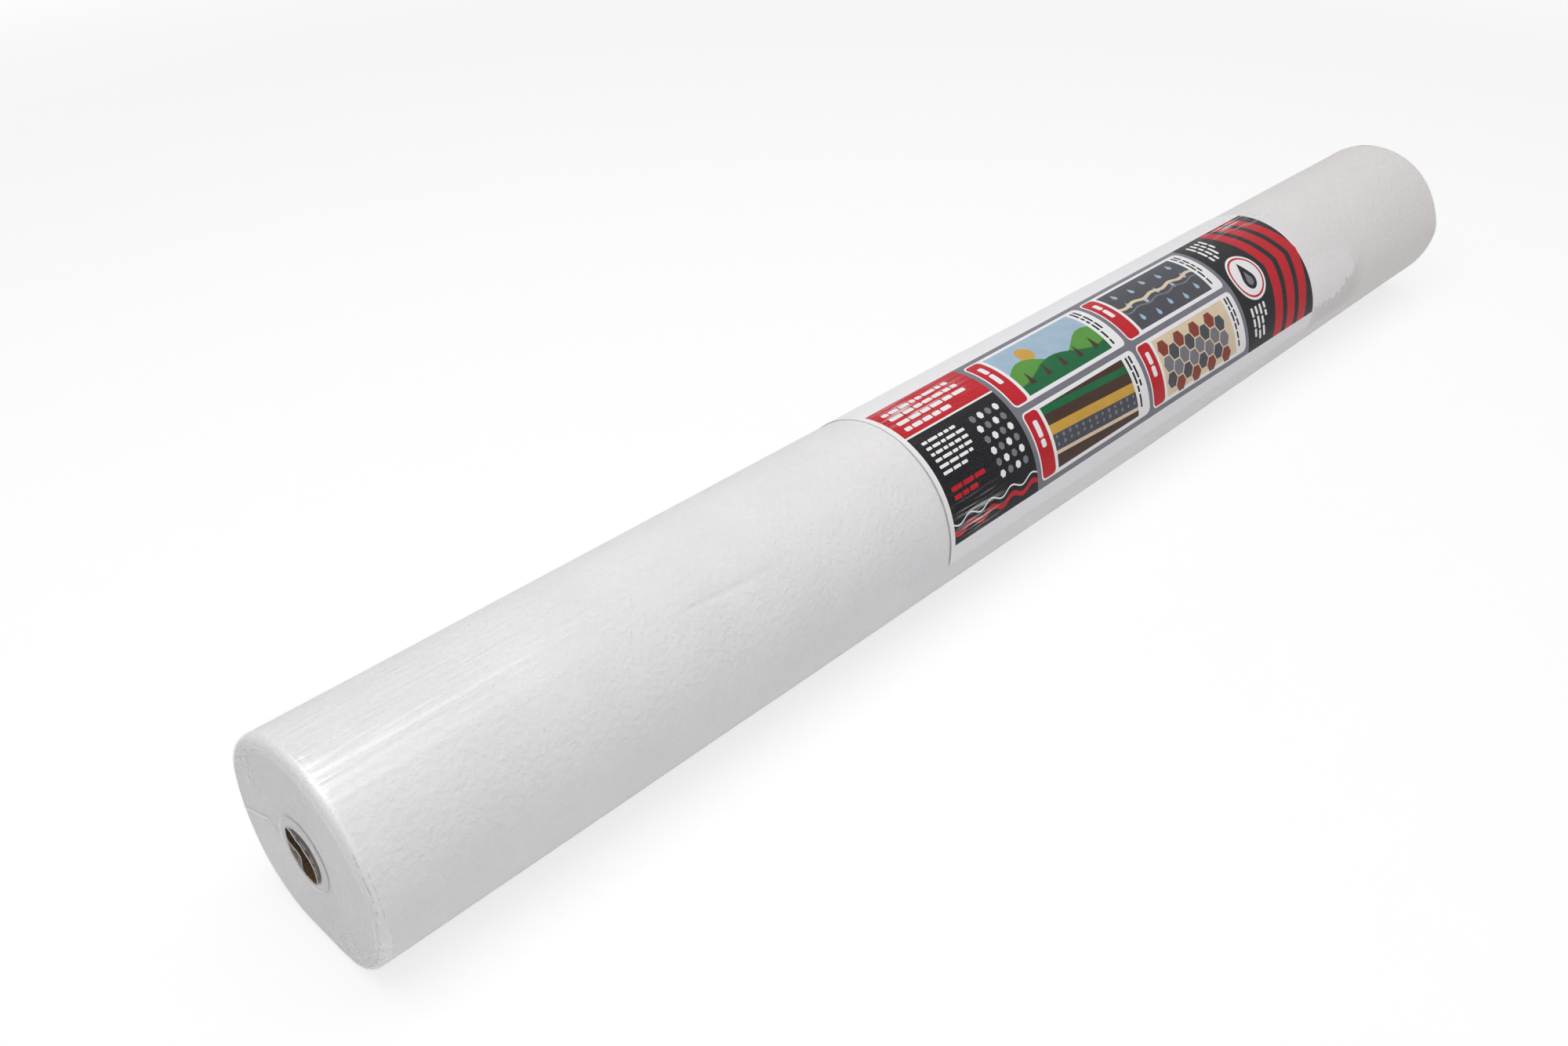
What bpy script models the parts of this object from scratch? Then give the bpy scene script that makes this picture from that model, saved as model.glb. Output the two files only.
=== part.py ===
"""Geotextile roll: a nonwoven web wound in one spiral on a cardboard core, with a printed paper
sheet laid on it, all held in a sleeve of shrink film. Metres, +Z up. The roll lies along X with
its near end at -X, and rests on the strip that its own weight presses flat on its underside."""

import math

import bmesh
import bpy
import numpy as np

# Angles run round the roll's axis from +Y through +Z, so 90 degrees is the top and 270 the underside.

# Winding
WEB_WIDTH = 1.0
WEB_THICKNESS = 0.001
TURN_GAP = 0.00059
TURNS = 24
TAIL_ANGLE = math.radians(315)
COARSE_POINTS = 24
FINE_POINTS = 48

# Underside pressed flat where the roll rests
REST_DEPTH = 0.006
UNDERSIDE = math.radians(270)
REST_ANGLE = math.radians(12.8)
SAG_REACH = math.radians(52)

# Core tube
CORE_BORE_RADIUS = 0.015
CORE_WALL = 0.00325
CORE_SETBACK = 0.001
CORE_CHAMFER = 0.0004
CORE_SIDES = 48

# Tape that holds the start of the web to the core
TAPE_WIDTH = 0.025
TAPE_THICKNESS = 0.0003
TAPE_SETBACK = 0.02
TAPE_SIDES = 10

# Printed paper sheet under the film
LABEL_LENGTH = 0.42
LABEL_WIDTH = 0.1485
LABEL_THICKNESS = 0.0002
LABEL_FROM_NEAR_END = 0.371
LABEL_LOWER_ANGLE = math.radians(189.2)
LABEL_SIDES = 26

# Film sleeve, shrunk over both ends
FILM_THICKNESS = 0.0003
RIM_RADIUS = 0.005
RIM_STEPS = 4
TUCK = 0.0018
HOLE_DIP = 0.0015
SEAM_ANGLE = math.radians(354)
SEAM_HEIGHT = 0.0007
SEAM_HALF_WIDTH = 0.0014
CLOSEST_COLUMNS = math.radians(1)

# Edge of the film over each end of the bore, as angles and shares of the bore's radius
NEAR_HOLE_ANGLES = [0, 36, 60, 85, 120, 165, 212, 240, 270, 290, 306, 328, 346]
NEAR_HOLE_SHARES = [0.93, 0.9, 0.55, 0.36, 0.3, 0.32, 0.6, 0.88, 0.94, 0.92, 0.5, 0.66, 0.86]
FAR_HOLE_ANGLES = [0, 60, 130, 200, 290]
FAR_HOLE_SHARES = [0.8, 0.7, 0.86, 0.74, 0.88]

# Clearance between pieces that touch on the real roll
GAP = 0.0003

FULL_TURN = math.tau
CORE_RADIUS = CORE_BORE_RADIUS + CORE_WALL
WEB_START = CORE_RADIUS + GAP + TAPE_THICKNESS + GAP
PITCH = WEB_THICKNESS + TURN_GAP
HALF_WEB = WEB_WIDTH / 2
HALF_ROLL = HALF_WEB + GAP + FILM_THICKNESS
LABEL_NEAR = LABEL_FROM_NEAR_END - HALF_WEB
LABEL_FAR = LABEL_NEAR + LABEL_LENGTH


def turn_at(angle):
    """Number of turns wound where the outermost turn passes this angle."""
    before_tail = (TAIL_ANGLE - angle) % FULL_TURN
    return TURNS - before_tail / FULL_TURN


def angle_at(turn):
    """Angle that the web has reached after so many turns."""
    return TAIL_ANGLE + FULL_TURN * (turn - TURNS)


def wound_radius(turn):
    """Radius of the web's inner face after so many turns, before the roll sags."""
    return WEB_START + PITCH * turn


def envelope(angle):
    """Round outline of the wound web, with the straight run past the tail where the film spans its step."""
    tail_radius = wound_radius(TURNS) + WEB_THICKNESS
    inner_radius = tail_radius - PITCH
    landing = math.acos(inner_radius / tail_radius)
    past_tail = (angle - TAIL_ANGLE) % FULL_TURN
    spiral = wound_radius(turn_at(angle)) + WEB_THICKNESS
    if past_tail == 0:
        return tail_radius
    if past_tail < landing:
        return max(spiral, inner_radius / math.cos(landing - past_tail))
    return spiral


def sagged(radius, angle, height):
    """Radius of an outline once it is pressed flat at this height under the axis, rounding back into it."""
    away = abs((angle - UNDERSIDE + math.pi) % FULL_TURN - math.pi)
    if away >= SAG_REACH:
        return radius
    if away <= REST_ANGLE:
        return height / math.cos(away)
    edge = height / math.cos(REST_ANGLE)
    edge_slope = edge * math.tan(REST_ANGLE)
    span = SAG_REACH - REST_ANGLE
    s = (away - REST_ANGLE) / span
    rise = s * s * (3 - 2 * s)
    return edge + (radius - edge) * rise + edge_slope * span * s * (1 - s) ** 2


REST_HEIGHT = envelope(UNDERSIDE) + GAP + FILM_THICKNESS - REST_DEPTH
WEB_REST_HEIGHT = REST_HEIGHT - FILM_THICKNESS - GAP


def layer_radius(radius, angle):
    """Radius of a layer inside the web, squeezed in step with the outline under it."""
    round_outline = envelope(angle)
    squeeze = (sagged(round_outline, angle, WEB_REST_HEIGHT) - CORE_RADIUS) / (round_outline - CORE_RADIUS)
    return CORE_RADIUS + (radius - CORE_RADIUS) * squeeze


def film_radius(angle):
    """Radius of the film's outer face where no label lies under it."""
    return sagged(envelope(angle) + GAP + FILM_THICKNESS, angle, REST_HEIGHT)


def polar(radius, angle):
    """Y and Z of a point at this radius and angle from the roll's axis."""
    return radius * math.cos(angle), radius * math.sin(angle)


def material(name, colour, roughness, alpha=1.0):
    """A plain material of one colour."""
    made = bpy.data.materials.new(name)
    made.use_nodes = True
    shader = made.node_tree.nodes["Principled BSDF"]
    shader.inputs["Base Color"].default_value = (*colour, 1)
    shader.inputs["Roughness"].default_value = roughness
    shader.inputs["Metallic"].default_value = 0
    shader.inputs["Alpha"].default_value = alpha
    return made


def grid_mesh(name, rows, wrap_rows, wrap_columns):
    """Mesh of quads through a grid of points, each side of which may close on itself."""
    mesh = bmesh.new()
    grid = [[mesh.verts.new(point) for point in row] for row in rows]
    row_pairs = list(zip(grid, grid[1:]))
    if wrap_rows:
        row_pairs.append((grid[-1], grid[0]))
    for low, high in row_pairs:
        low_next = low[1:] + low[:1] if wrap_columns else low[1:]
        high_next = high[1:] + high[:1] if wrap_columns else high[1:]
        for a, b, c, d in zip(low, low_next, high_next, high):
            mesh.faces.new((a, b, c, d))
    if wrap_rows and not wrap_columns:
        mesh.faces.new([row[0] for row in grid])
        mesh.faces.new([row[-1] for row in reversed(grid)])
    bmesh.ops.recalc_face_normals(mesh, faces=mesh.faces)
    data = bpy.data.meshes.new(name)
    mesh.to_mesh(data)
    mesh.free()
    return data


def add_piece(name, data, look, axis):
    """Put a mesh in the scene, on the roll's axis."""
    piece = bpy.data.objects.new(name, data)
    piece.data.materials.append(look)
    bpy.context.scene.collection.objects.link(piece)
    piece.parent = axis
    piece.data.shade_smooth()
    piece.data.set_sharp_from_angle(angle=math.radians(30))
    return piece


def thicken(piece, thickness, outwards):
    """Give an open skin its thickness, outwards or inwards from the face that was drawn."""
    skin = piece.modifiers.new("thickness", "SOLIDIFY")
    skin.thickness = thickness
    skin.offset = 1 if outwards else -1
    skin.use_even_offset = True
    return skin


def build_core(axis):
    """Spiral-wound cardboard tube, with its cut ends just eased."""
    half = HALF_WEB - CORE_SETBACK
    eased = half - CORE_CHAMFER
    profile = [
        (-eased, CORE_RADIUS),
        (eased, CORE_RADIUS),
        (half, CORE_RADIUS - CORE_CHAMFER),
        (half, CORE_BORE_RADIUS + CORE_CHAMFER),
        (eased, CORE_BORE_RADIUS),
        (-eased, CORE_BORE_RADIUS),
        (-half, CORE_BORE_RADIUS + CORE_CHAMFER),
        (-half, CORE_RADIUS - CORE_CHAMFER),
    ]
    angles = [FULL_TURN * side / CORE_SIDES for side in range(CORE_SIDES)]
    rows = [[(x, *polar(radius, angle)) for angle in angles] for x, radius in profile]
    data = grid_mesh("core_tube", rows, wrap_rows=True, wrap_columns=True)
    kraft = material("kraft_board", (0.36, 0.25, 0.15), 0.85)
    return add_piece("core_tube", data, kraft, axis)


def build_tape(axis):
    """Double-sided tape along the core, under the first part of the web."""
    radius = CORE_RADIUS + GAP
    reach = TAPE_WIDTH / radius
    half = HALF_WEB - TAPE_SETBACK
    angles = [TAIL_ANGLE + reach * side / TAPE_SIDES for side in range(TAPE_SIDES + 1)]
    rows = [[(x, *polar(radius, angle)) for angle in angles] for x in (-half, half)]
    data = grid_mesh("core_tape", rows, wrap_rows=False, wrap_columns=False)
    face_outwards(data)
    tape = add_piece("core_tape", data, material("tape", (0.85, 0.8, 0.62), 0.4), axis)
    thicken(tape, TAPE_THICKNESS, outwards=True)
    return tape


def face_outwards(data):
    """Turn an open skin's faces away from the roll's axis."""
    mesh = bmesh.new()
    mesh.from_mesh(data)
    mesh.normal_update()
    facing_in = [face for face in mesh.faces if face.normal.yz.dot(face.calc_center_median().yz) < 0]
    bmesh.ops.reverse_faces(mesh, faces=facing_in)
    mesh.to_mesh(data)
    mesh.free()


def web_turns():
    """Places along the web, in turns, closer together on the outermost turn."""
    turns = [step / COARSE_POINTS for step in range((TURNS - 1) * COARSE_POINTS)]
    turns += [TURNS - 1 + step / FINE_POINTS for step in range(FINE_POINTS)]
    last_underside = TURNS - (TAIL_ANGLE - UNDERSIDE) / FULL_TURN
    turns += [last_underside + side * REST_ANGLE / FULL_TURN for side in (-1, 1)]
    return sorted(turns) + [TURNS]


def web_half_width(turn):
    """Half the web's width there: the film draws the outer turns' edges in, round the rim."""
    angle = angle_at(turn)
    under_film = film_radius(angle) - layer_radius(wound_radius(turn) + WEB_THICKNESS, angle)
    corner = RIM_RADIUS - FILM_THICKNESS - GAP
    across = max(RIM_RADIUS - under_film, 0)
    return HALF_ROLL - RIM_RADIUS + math.sqrt(max(corner**2 - across**2, 0))


def web_faces(turns):
    """Points on the web's inner and outer face, in the plane across the roll."""
    inner = []
    outer = []
    for turn in turns:
        angle = angle_at(turn)
        radius = wound_radius(turn)
        inner.append(polar(layer_radius(radius, angle), angle))
        outer.append(polar(layer_radius(radius + WEB_THICKNESS, angle), angle))
    return inner, outer


def least_gap(turns, inner, outer, samples=6):
    """Least distance between the outer face of a turn and the inner face of a later one."""
    places = np.linspace(0, len(turns) - 1, (len(turns) - 1) * samples + 1)
    steps = np.arange(len(turns))
    at = np.interp(places, steps, turns)
    low = np.stack([np.interp(places, steps, side) for side in np.array(inner).T], axis=1)
    high = np.stack([np.interp(places, steps, side) for side in np.array(outer).T], axis=1)
    least = math.inf
    for turn, point in zip(at, high):
        later = low[at > turn + 0.5]
        if len(later):
            least = min(least, float(np.linalg.norm(later - point, axis=1).min()))
    return least


def build_web(axis):
    """The nonwoven web: one unbroken sheet, wound outwards from the tape to the tail."""
    turns = web_turns()
    inner, outer = web_faces(turns)
    print(f"web: {TURNS} turns, least gap to itself {least_gap(turns, inner, outer) * 1000:.3f} mm")
    halves = [web_half_width(turn) for turn in turns]
    rows = [
        [(-half, y, z) for half, (y, z) in zip(halves, inner)],
        [(half, y, z) for half, (y, z) in zip(halves, inner)],
        [(half, y, z) for half, (y, z) in zip(halves, outer)],
        [(-half, y, z) for half, (y, z) in zip(halves, outer)],
    ]
    data = grid_mesh("geotextile_web", rows, wrap_rows=True, wrap_columns=False)
    return add_piece("geotextile_web", data, material("nonwoven", (0.86, 0.86, 0.87), 0.95), axis)


def label_angles():
    """Angles of the label's upper and lower edge, its width being measured round the web."""
    radius = envelope(LABEL_LOWER_ANGLE) + GAP
    return LABEL_LOWER_ANGLE - LABEL_WIDTH / radius, LABEL_LOWER_ANGLE


def build_label(axis):
    """Printed paper sheet, bent round the web."""
    upper, lower = label_angles()
    angles = [upper + (lower - upper) * side / LABEL_SIDES for side in range(LABEL_SIDES + 1)]
    rows = [[(x, *polar(envelope(angle) + GAP, angle)) for angle in angles] for x in (LABEL_NEAR, LABEL_FAR)]
    data = grid_mesh("label_sheet", rows, wrap_rows=False, wrap_columns=False)
    face_outwards(data)
    label = add_piece("label_sheet", data, material("paper", (0.9, 0.9, 0.9), 0.6), axis)
    thicken(label, LABEL_THICKNESS, outwards=True)
    return label


def film_columns():
    """Angles of the film's columns, with closer ones at the label's edges, the seam and the flat underside."""
    upper, lower = label_angles()
    radius = envelope(LABEL_LOWER_ANGLE)
    tucked = TUCK / radius
    held = GAP / radius
    seam = SEAM_HALF_WIDTH / radius
    kept = [upper - tucked, upper - held, lower + held, lower + tucked]
    kept += [SEAM_ANGLE - seam, SEAM_ANGLE, SEAM_ANGLE + seam]
    kept += [UNDERSIDE - REST_ANGLE, UNDERSIDE + REST_ANGLE]
    for column in range(FINE_POINTS):
        angle = (TAIL_ANGLE + FULL_TURN * column / FINE_POINTS) % FULL_TURN
        if all(abs(angle - other) > CLOSEST_COLUMNS for other in kept):
            kept.append(angle)
    return sorted(kept)


def label_lift(x, angle):
    """How far the film stands off over the label, falling to nothing just past its edges."""
    upper, lower = label_angles()
    radius = envelope(angle)
    past_side = max((upper - angle) * radius, (angle - lower) * radius, 0)
    past_end = max(LABEL_NEAR - x, x - LABEL_FAR, 0)
    past = max(past_side, past_end) - GAP
    share = min(max(1 - past / (TUCK - GAP), 0), 1)
    return (GAP + LABEL_THICKNESS) * share


def seam_lift(angle):
    """Height of the seal bead that runs the length of the sleeve."""
    off = abs(angle - SEAM_ANGLE) * envelope(SEAM_ANGLE)
    return SEAM_HEIGHT * max(1 - off / SEAM_HALF_WIDTH, 0)


def end_rings(columns, side, hole_angles, hole_shares):
    """Rings of the film over one end, from the torn edge over the bore out to the rim's far side."""
    hole = np.interp(np.degrees(columns), hole_angles, hole_shares, period=360) * CORE_BORE_RADIUS
    face = side * HALF_ROLL
    rings = [
        [(face - side * HOLE_DIP, *polar(radius, angle)) for radius, angle in zip(hole, columns)],
        [(face, *polar(CORE_BORE_RADIUS - GAP, angle)) for angle in columns],
    ]
    for step in range(RIM_STEPS + 1):
        bend = math.pi / 2 * step / RIM_STEPS
        x = face - side * RIM_RADIUS * (1 - math.cos(bend))
        inset = RIM_RADIUS * (1 - math.sin(bend))
        ring = []
        for angle in columns:
            bead = seam_lift(angle)
            radius = film_radius(angle) - inset + bead * math.sin(bend)
            ring.append((x + side * bead * math.cos(bend), *polar(radius, angle)))
        rings.append(ring)
    return rings


def build_sleeve(axis):
    """Shrink film: one skin round the roll and over its rims, torn open at each end of the bore."""
    columns = film_columns()
    rings = end_rings(columns, -1, NEAR_HOLE_ANGLES, NEAR_HOLE_SHARES)
    for x in (LABEL_NEAR - TUCK, LABEL_NEAR - GAP, LABEL_FAR + GAP, LABEL_FAR + TUCK):
        radii = [film_radius(angle) + label_lift(x, angle) + seam_lift(angle) for angle in columns]
        rings.append([(x, *polar(radius, angle)) for radius, angle in zip(radii, columns)])
    rings += reversed(end_rings(columns, 1, FAR_HOLE_ANGLES, FAR_HOLE_SHARES))
    data = grid_mesh("shrink_sleeve", rings, wrap_rows=False, wrap_columns=True)
    face_out_of_roll(data)
    sleeve = add_piece("shrink_sleeve", data, material("clear_film", (0.9, 0.92, 0.95), 0.12, 0.35), axis)
    thicken(sleeve, FILM_THICKNESS, outwards=False)
    return sleeve


def face_out_of_roll(data):
    """Turn a skin that goes round the whole roll so that its widest face points away from the axis."""
    mesh = bmesh.new()
    mesh.from_mesh(data)
    mesh.normal_update()
    widest = max(mesh.faces, key=lambda face: face.calc_area())
    if widest.normal.yz.dot(widest.calc_center_median().yz) < 0:
        bmesh.ops.reverse_faces(mesh, faces=mesh.faces)
    mesh.to_mesh(data)
    mesh.free()


def add_axis():
    """Empty on the roll's axis, placed so that the roll stands on z = 0 and is centred in Y."""
    sides = [polar(film_radius(angle) + seam_lift(angle) + label_lift(0, angle), angle)[0] for angle in film_columns()]
    axis = bpy.data.objects.new("roll_axis", None)
    axis.location = (0, -(max(sides) + min(sides)) / 2, REST_HEIGHT)
    bpy.context.scene.collection.objects.link(axis)
    print("roll axis at", [round(value, 6) for value in axis.location])
    return axis


def main():
    for old in list(bpy.data.objects):
        bpy.data.objects.remove(old, do_unlink=True)
    axis = add_axis()
    build_core(axis)
    build_tape(axis)
    build_web(axis)
    build_label(axis)
    build_sleeve(axis)


main()
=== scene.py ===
"""Dressed model of a roll of white geotextile: a fleece wound on a cardboard core, with a printed paper
sheet on it and a sleeve of clear shrink film round everything. Metres, +Z up, the roll along X with its
near end at -X. Angles run round the roll's axis from +Y through +Z, so the top is at 90 degrees."""

import logging
import math
from dataclasses import dataclass, field, replace
from enum import Enum

import bmesh
import bpy
import numpy as np
from bpy.types import Material, Node, NodeSocket, Object, World
from mathutils import Matrix, Vector
from mathutils.geometry import delaunay_2d_cdt


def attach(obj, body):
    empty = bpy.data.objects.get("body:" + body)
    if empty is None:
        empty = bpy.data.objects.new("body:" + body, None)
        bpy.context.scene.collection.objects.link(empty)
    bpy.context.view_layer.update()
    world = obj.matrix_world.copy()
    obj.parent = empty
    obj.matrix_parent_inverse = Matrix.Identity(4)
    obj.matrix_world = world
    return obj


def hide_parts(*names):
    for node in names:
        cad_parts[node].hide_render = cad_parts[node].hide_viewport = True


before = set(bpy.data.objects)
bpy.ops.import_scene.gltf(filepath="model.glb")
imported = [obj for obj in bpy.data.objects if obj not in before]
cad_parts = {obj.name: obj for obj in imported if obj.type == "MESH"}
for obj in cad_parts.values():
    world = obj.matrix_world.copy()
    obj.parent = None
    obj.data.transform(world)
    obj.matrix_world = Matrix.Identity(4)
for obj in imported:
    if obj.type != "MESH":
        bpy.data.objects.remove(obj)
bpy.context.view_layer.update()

LOG = logging.getLogger("geotextile_roll")
TURN = math.tau
MM = 0.001
ROLL_RADIUS = 0.058
Array = np.ndarray


class End(Enum):
    """Ends of the roll, by the sign of X there."""

    NEAR = -1
    FAR = 1

    def pick(self, near: tuple, far: tuple) -> tuple:
        """The one of two tables that belongs to this end."""
        return near if self is End.NEAR else far


class Ink(Enum):
    """Inks of the printed sheet, as linear colours. Bare paper counts as one."""

    PAPER = (0.86, 0.86, 0.87)
    BLACK = (0.009, 0.009, 0.011)
    RED = (0.52, 0.012, 0.022)
    GREY = (0.19, 0.19, 0.22)
    SLATE = (0.07, 0.075, 0.09)
    SOIL = (0.06, 0.03, 0.02)
    SAND = (0.62, 0.36, 0.06)
    CREAM = (0.72, 0.6, 0.42)
    BRICK = (0.24, 0.05, 0.03)
    GREEN = (0.01, 0.13, 0.045)
    LEAF = (0.1, 0.3, 0.05)
    SKY = (0.36, 0.5, 0.62)


# Shader maths


class Value:
    """One number of a shader, on which Python's operators work. Each operator adds a Math node."""

    def __init__(self, graph: "Graph", socket: NodeSocket) -> None:
        """Wrap an output socket of the graph."""
        self.graph = graph
        self.socket = socket

    def maths(self, operation: str, *others: "Value | float", first: bool = True) -> "Value":
        """Result of a Math node on this value and others, which go ahead of it where it isn't first."""
        operands = (self, *others) if first else (*others, self)
        return self.graph.value("ShaderNodeMath", {"operation": operation}, dict(enumerate(operands)))

    def __add__(self, other: "Value | float") -> "Value":
        """Sum."""
        return self.maths("ADD", other)

    __radd__ = __add__

    def __sub__(self, other: "Value | float") -> "Value":
        """Difference."""
        return self.maths("SUBTRACT", other)

    def __rsub__(self, other: float) -> "Value":
        """Difference, with this value taken away from a number."""
        return self.maths("SUBTRACT", other, first=False)

    def __mul__(self, other: "Value | float") -> "Value":
        """Product."""
        return self.maths("MULTIPLY", other)

    __rmul__ = __mul__

    def __truediv__(self, other: "Value | float") -> "Value":
        """Quotient."""
        return self.maths("DIVIDE", other)

    def __rtruediv__(self, other: float) -> "Value":
        """Quotient, with this value under a number."""
        return self.maths("DIVIDE", other, first=False)

    def __pow__(self, other: "Value | float") -> "Value":
        """Power."""
        return self.maths("POWER", other)

    def __abs__(self) -> "Value":
        """Size without its sign."""
        return self.maths("ABSOLUTE")

    def least(self, other: "Value | float") -> "Value":
        """The smaller of two."""
        return self.maths("MINIMUM", other)

    def most(self, other: "Value | float") -> "Value":
        """The larger of two."""
        return self.maths("MAXIMUM", other)

    def step(self, low: float, high: float) -> "Value":
        """Smooth step from 0 at the lower value to 1 at the higher one."""
        settings = {"interpolation_type": "SMOOTHSTEP"}
        return self.graph.value("ShaderNodeMapRange", settings, {0: self, 1: low, 2: high})


class Graph:
    """Node tree of a material or of the world."""

    def __init__(self, owner: Material | World) -> None:
        """Empty the owner's tree.

        Args:
            owner: The material or the world.
        """
        owner.use_nodes = True
        self.owner = owner
        self.tree = owner.node_tree
        self.tree.nodes.clear()

    def node(self, kind: str, settings: dict, inputs: dict) -> Node:
        """Add a node.

        Args:
            kind: The node's type.
            settings: Its properties, set first.
            inputs: The value or the link of each named or numbered socket.

        Returns:
            The new node.
        """
        made = self.tree.nodes.new(kind)
        for name, setting in settings.items():
            setattr(made, name, setting)
        for key, given in inputs.items():
            if isinstance(given, Value):
                self.tree.links.new(given.socket, made.inputs[key])
            else:
                made.inputs[key].default_value = given
        return made

    def value(self, kind: str, settings: dict, inputs: dict, output: int | str = 0) -> Value:
        """Add a node and take one of its outputs."""
        return Value(self, self.node(kind, settings, inputs).outputs[output])

    def kept(self, name: str) -> Value:
        """The number that a piece keeps under this name for each of its points."""
        return self.value("ShaderNodeAttribute", {"attribute_name": name}, {}, "Fac")

    def place(self, stretch: tuple = (1, 1, 1), turn: tuple = (0, 0, 0)) -> Value:
        """The point on the surface in metres, turned by three angles and then stretched on X, Y and Z."""
        where = self.value("ShaderNodeTexCoord", {}, {}, "Object")
        return self.value("ShaderNodeMapping", {}, {"Vector": where, "Scale": stretch, "Rotation": turn})

    def unrolled(self, axis: tuple) -> tuple[Value, Value]:
        """Place along the roll, and angle round it, which jumps at the underside.

        Args:
            axis: Y and Z of the roll's axis.

        Returns:
            The place and the angle.
        """
        apart = self.node("ShaderNodeSeparateXYZ", {}, {0: self.place()})
        along, sideways, up = (Value(self, apart.outputs[name]) for name in "XYZ")
        return along, (axis[0] - sideways).maths("ARCTAN2", up - axis[1]) + math.pi / 2

    def noise(self, place: Value, scale: float, detail: int, rough: float = 0.5, bend: float = 0) -> Value:
        """Cloudy noise about 0.5: cells per metre, octaves, share of each finer octave, and distortion."""
        inputs = {"Vector": place, "Scale": scale, "Detail": detail, "Roughness": rough, "Distortion": bend}
        return self.value("ShaderNodeTexNoise", {}, inputs)

    def cells(self, place: Value, scale: float) -> Value:
        """Distance to the nearest of scattered points, in cells, of which there are this many a metre."""
        return self.value("ShaderNodeTexVoronoi", {}, {"Vector": place, "Scale": scale})

    def blend(self, share: Value | float, low: tuple | Value, high: tuple | Value, way: str = "MIX") -> Value:
        """Mix two colours.

        Args:
            share: How much of the second.
            low: The first colour.
            high: The second colour.
            way: How the second one acts on the first.

        Returns:
            The mixed colour.
        """
        colours = [c if isinstance(c, Value) else (*c, 1) for c in (low, high)]
        settings = {"data_type": "RGBA", "blend_type": way}
        return self.value("ShaderNodeMix", settings, {0: share, 6: colours[0], 7: colours[1]}, 2)

    def bump(self, height: Value, depth: float, strength: float, under: Value | None = None) -> Value:
        """Normal of a fine relief.

        Args:
            height: The relief, about 0 to 1.
            depth: Its depth in metres.
            strength: Share of it that shows.
            under: Normal of the coarser relief it lies on.

        Returns:
            The normal.
        """
        inputs = {"Height": height, "Distance": depth, "Strength": strength}
        if under is not None:
            inputs["Normal"] = under
        return self.value("ShaderNodeBump", {}, inputs)

    def coat(self, inputs: dict) -> Value:
        """A Principled shader with these inputs."""
        return self.value("ShaderNodeBsdfPrincipled", {}, inputs)

    def surface(self, shader: Value) -> Material:
        """End the material's tree with this shader."""
        self.node("ShaderNodeOutputMaterial", {}, {"Surface": shader})
        return self.owner


def seen(graph: Graph) -> Value:
    """Whether a ray comes from the camera, from a reflection or through the film.

    Args:
        graph: The tree to add it to.

    Returns:
        One for such a ray, else nought.
    """
    path = graph.node("ShaderNodeLightPath", {}, {})
    rays = [Value(graph, path.outputs[f"Is {kind} Ray"]) for kind in ("Camera", "Glossy", "Transmission")]
    return rays[0].most(rays[1]).most(rays[2])


# Finishes


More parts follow.
